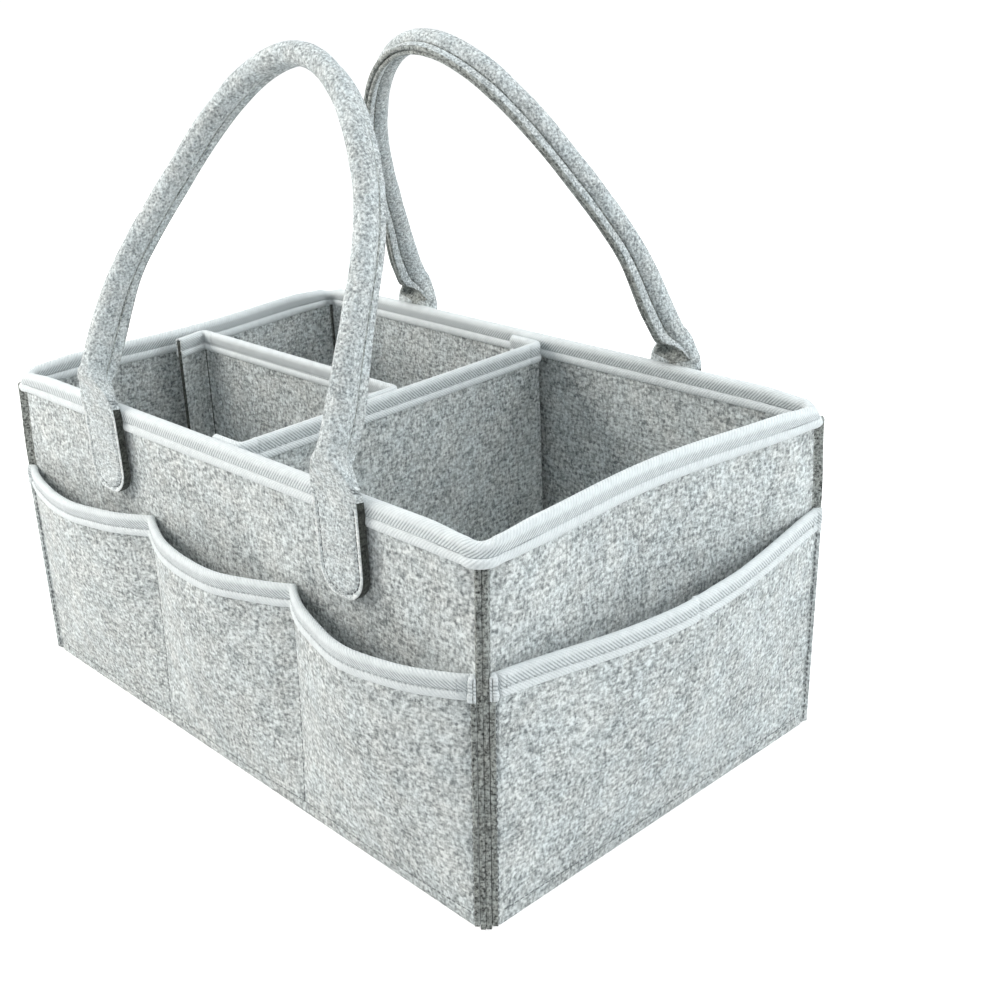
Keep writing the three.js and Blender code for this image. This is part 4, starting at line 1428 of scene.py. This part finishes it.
Divider = namedtuple("Divider", "width turns place")
LONG_FROM = FELT + END_LEAN + HOOK_SEAT + LONG_GAP - BODY_LENGTH / 2
LONG_TO = CROSS_X - FELT / 2 - HOOK_SEAT
CROSS_WIDTH = BODY_WIDTH - 2 * (FELT + HOOK_SEAT + SLIDE_GAP)
DIVIDERS = {
    "cross": Divider(CROSS_WIDTH, {-1: 90, 1: 90}, lambda along, out, z: Vector(
        (CROSS_X + FELT / 2 + out + along * CROSS_SLANT / CROSS_WIDTH, -along, z))),
    "long": Divider(LONG_TO - LONG_FROM, {-1: 102, 1: 90}, lambda along, out, z: Vector(
        ((LONG_FROM + LONG_TO) / 2 + along, LONG_Y + FELT / 2 + out, z))),
}


def divider_station(divider, run):
    """(along, out, direction along, direction out) on a divider's outer face."""
    hand = 1 if run >= 0 else -1
    web = divider.width / 2 - DIVIDER_BEND
    past = abs(run) - web
    if past <= 0:
        crease = PRESS_DEPTH * math.exp(-((past + PRESS_FROM_FOLD) / PRESS_WIDTH) ** 2)
        return run, -crease, 0, 1
    swing = min(past / DIVIDER_ARC, 1) * math.radians(divider.turns[hand])
    flat = max(past - DIVIDER_ARC, 0)
    along = web + DIVIDER_BEND * math.sin(swing) + flat * math.cos(swing)
    out = DIVIDER_BEND * (math.cos(swing) - 1) - flat * math.sin(swing)
    return hand * along, out, hand * math.sin(swing), math.cos(swing)


def divider_stops(width):
    web = width / 2 - DIVIDER_BEND
    bend = [web + share * DIVIDER_ARC for share in spread(0, 1, 6)]
    flange = spread(bend[-1], bend[-1] + DIVIDER_FLANGE - DIVIDER_BEND, 8)[1:]
    creased = [web - PRESS_FROM_FOLD + step * mm for step in (-1.8, -1.2, -0.6, 0, 0.6, 1.2, 1.8)]
    half = spread(0, web - 9 * mm, 24)[1:] + creased + [web - 2 * mm] + bend + flange
    return both_ways([0], half)


def on_divider(name, run, stand, z):
    """A point by a divider: run along its felt, out from the felt's middle, and up."""
    divider = DIVIDERS[name]
    along, out, push_along, push_out = divider_station(divider, run)
    stand -= FELT / 2
    return divider.place(along + push_along * stand, out + push_out * stand, z)


print("dividers", {name: round(d.width, 4) for name, d in DIVIDERS.items()}, "m wide")


# %% [markdown]
# Each divider gets its sheet, its tape, a row of stitches on both sides and a hook strip on each
# flange. All of them ride on the divider's own body, so they lift out together.

# %% Make the dividers
def make_divider(name, ends):
    divider, body = DIVIDERS[name], f"{name}_divider_body"
    stops = divider_stops(divider.width)
    # The darker faces are a thin line down each fold: near-black felt that paints the crease's
    # shade.
    wear_and_fold_shade = divider.width / 2 - DIVIDER_BEND + DIVIDER_ARC * FOLD_SHADE_SHARE
    sheet = sewn_sheet(f"{name}_divider_felt", stops,
                       spread(DIVIDER_LOW, DIVIDER_TOP - FOLD_OUTER, 22),
                       lambda run, z: on_divider(name, run, FELT / 2, z), turned=True,
                       stiff=True, darker_faces=lambda run: abs(run - wear_and_fold_shade) < FOLD_SHADE_WIDTH)
    # The fold line and the cut edges take near-black felt: painted shade.
    dress(sheet, BODY_FELT, SHADE_FELT)
    thicken(sheet, FELT)
    belong(sheet, f"{name}_divider", body)

    def fold(run, across):
        out, drop = TAPE_SECTION[across]
        return on_divider(name, run, out, DIVIDER_TOP - drop)

    tape = sewn_sheet(f"{name}_divider_tape", stops, list(TAPE_SECTION), fold, stiff=True)
    dress(tape, BINDING_TAPE)
    thicken(tape, TAPE, edge=0)
    belong(tape, f"{name}_divider_binding", body)

    seam_bm, seam_height = bmesh.new(), DIVIDER_TOP - STITCH_DROP
    spots = [(run,) for run in spread(stops[0] + mm, stops[-1] - mm, 200)]
    for hand in (1, -1):
        sew(seam_bm, seam_path(lambda run, above: settled(on_divider(
            name, run, hand * (STITCH_STAND + above), seam_height), stiff=True), spots))
    stitched_piece(f"{name}_divider_stitches", seam_bm, body)

    middle = (DIVIDER_LOW + DIVIDER_TOP - TAPE_WIDTH) / 2
    centre = stops[-1] - (DIVIDER_FLANGE - DIVIDER_BEND) / 2
    face = FELT / 2 + SEAT_GAP + HOOK_THICKNESS
    for hand, end in zip((-1, 1), ends):
        runs = [hand * (centre + step) for step in spread(-HOOK_WIDTH / 2, HOOK_WIDTH / 2, 8)]
        strip = sewn_sheet(f"{name}_{end}_hook_tape", runs if hand > 0 else runs[::-1],
                           spread(middle - HOOK_HEIGHT / 2, middle + HOOK_HEIGHT / 2, 30),
                           lambda run, z: on_divider(name, run, face, z), turned=True,
                           stiff=True)
        dress(strip, HOOK_TAPE)
        thicken(strip, HOOK_THICKNESS, edge=0.3 * mm)
        belong(strip, f"{name}_{end}_hooks", body)


make_divider("cross", ("back", "front"))
make_divider("long", ("left", "right"))
print("dividers made")

# %% [markdown]
# ## Studio
#
# The photograph has a pure white background and broad soft light. The floor is a pale sheet. For
# camera rays alone it gives off a little light of its own, which brings it up to white, while the
# soft shadow under the caddy stays.

# %% Lay the floor
FLOOR_GLOW, FLOOR_REACH, FLOOR_DROP = 0.74, 30, -0.5 * mm


def seen_directly(tree):
    """One for the camera's rays, through glass and mirrors too, and nought for the others."""
    path = add_node(tree, "ShaderNodeLightPath").outputs
    seen = calculate(tree, "MAXIMUM", path["Is Camera Ray"], path["Is Glossy Ray"])
    return calculate(tree, "MAXIMUM", seen, path["Is Transmission Ray"])


def white_floor():
    material, tree, shader = new_material("white_floor", {
        "Roughness": 0.9, "Specular IOR Level": 0.1, "Emission Color": (1, 1, 1, 1)})
    space = add_node(tree, "ShaderNodeTexCoord").outputs["Object"]
    mottle = streaks(tree, space, (0, 0, 0), (3, 3, 3), 2)
    feed(tree, shader["Base Color"],
         blended(tree, mottle, (0.82, 0.82, 0.82, 1), (0.86, 0.86, 0.86, 1)))
    feed(tree, shader["Emission Strength"],
         calculate(tree, "MULTIPLY", seen_directly(tree), FLOOR_GLOW))
    return material


bm = bmesh.new()
bmesh.ops.create_grid(bm, x_segments=4, y_segments=4, size=FLOOR_REACH)
bmesh.ops.translate(bm, vec=(0, 0, FLOOR_DROP), verts=bm.verts)
floor = dress(piece_from("floor", bm), white_floor())
print("floor", floor.dimensions[0], "m wide")

# %% [markdown]
# The world does the same: white to the camera, gentler and cooler to the object. Large area lamps
# do the rest. A warm one in front on the left stands for a window, a cool one behind on the right
# for a reflector and a wide one above for the ceiling. A weak one fills in from the camera's side.

# %% Set the world and the lamps
world = bpy.data.worlds.new("white_studio")
bpy.context.scene.world = world
world.use_nodes = True
tree = world.node_tree
sky = tree.nodes["Background"].inputs
seen = seen_directly(tree)
strength = add_node(tree, "ShaderNodeMapRange", {"Value": seen, "To Min": 0.38, "To Max": 1})
feed(tree, sky["Strength"], strength.outputs[0])
feed(tree, sky["Color"], blended(tree, seen, (0.95, 0.985, 1, 1), (1, 1, 1, 1)))


def soft_lamp(name, place, aim, power, size, color=(1, 1, 1)):
    lamp = bpy.data.lights.new(name, "AREA")
    lamp.energy = power
    lamp.color = color
    lamp.size = size
    holder = bpy.data.objects.new(name, lamp)
    holder.location = place
    holder.rotation_euler = (Vector(aim) - Vector(place)).to_track_quat("-Z", "Y").to_euler()
    bpy.context.scene.collection.objects.link(holder)


WARM, COOL = (1, 0.97, 0.92), (0.94, 0.985, 1)
soft_lamp("window_lamp", (-0.8, -0.9, 0.75), (-0.1, 0, 0.1), power=12, size=0.7, color=WARM)
soft_lamp("reflector_lamp", (1.0, 0.6, 0.6), (0.1, 0, 0.1), power=7.5, size=0.7, color=COOL)
soft_lamp("camera_lamp", (1.4, -1.15, 1.3), (0, 0, 0.1), power=2, size=0.9)
soft_lamp("ceiling_lamp", (0, 0, 2.2), (0, 0, 0), power=23.5, size=1.8, color=COOL)
bpy.context.scene.view_settings.view_transform = "Standard"
print("lamps:", [o.name for o in bpy.data.objects if o.type == "LIGHT"])
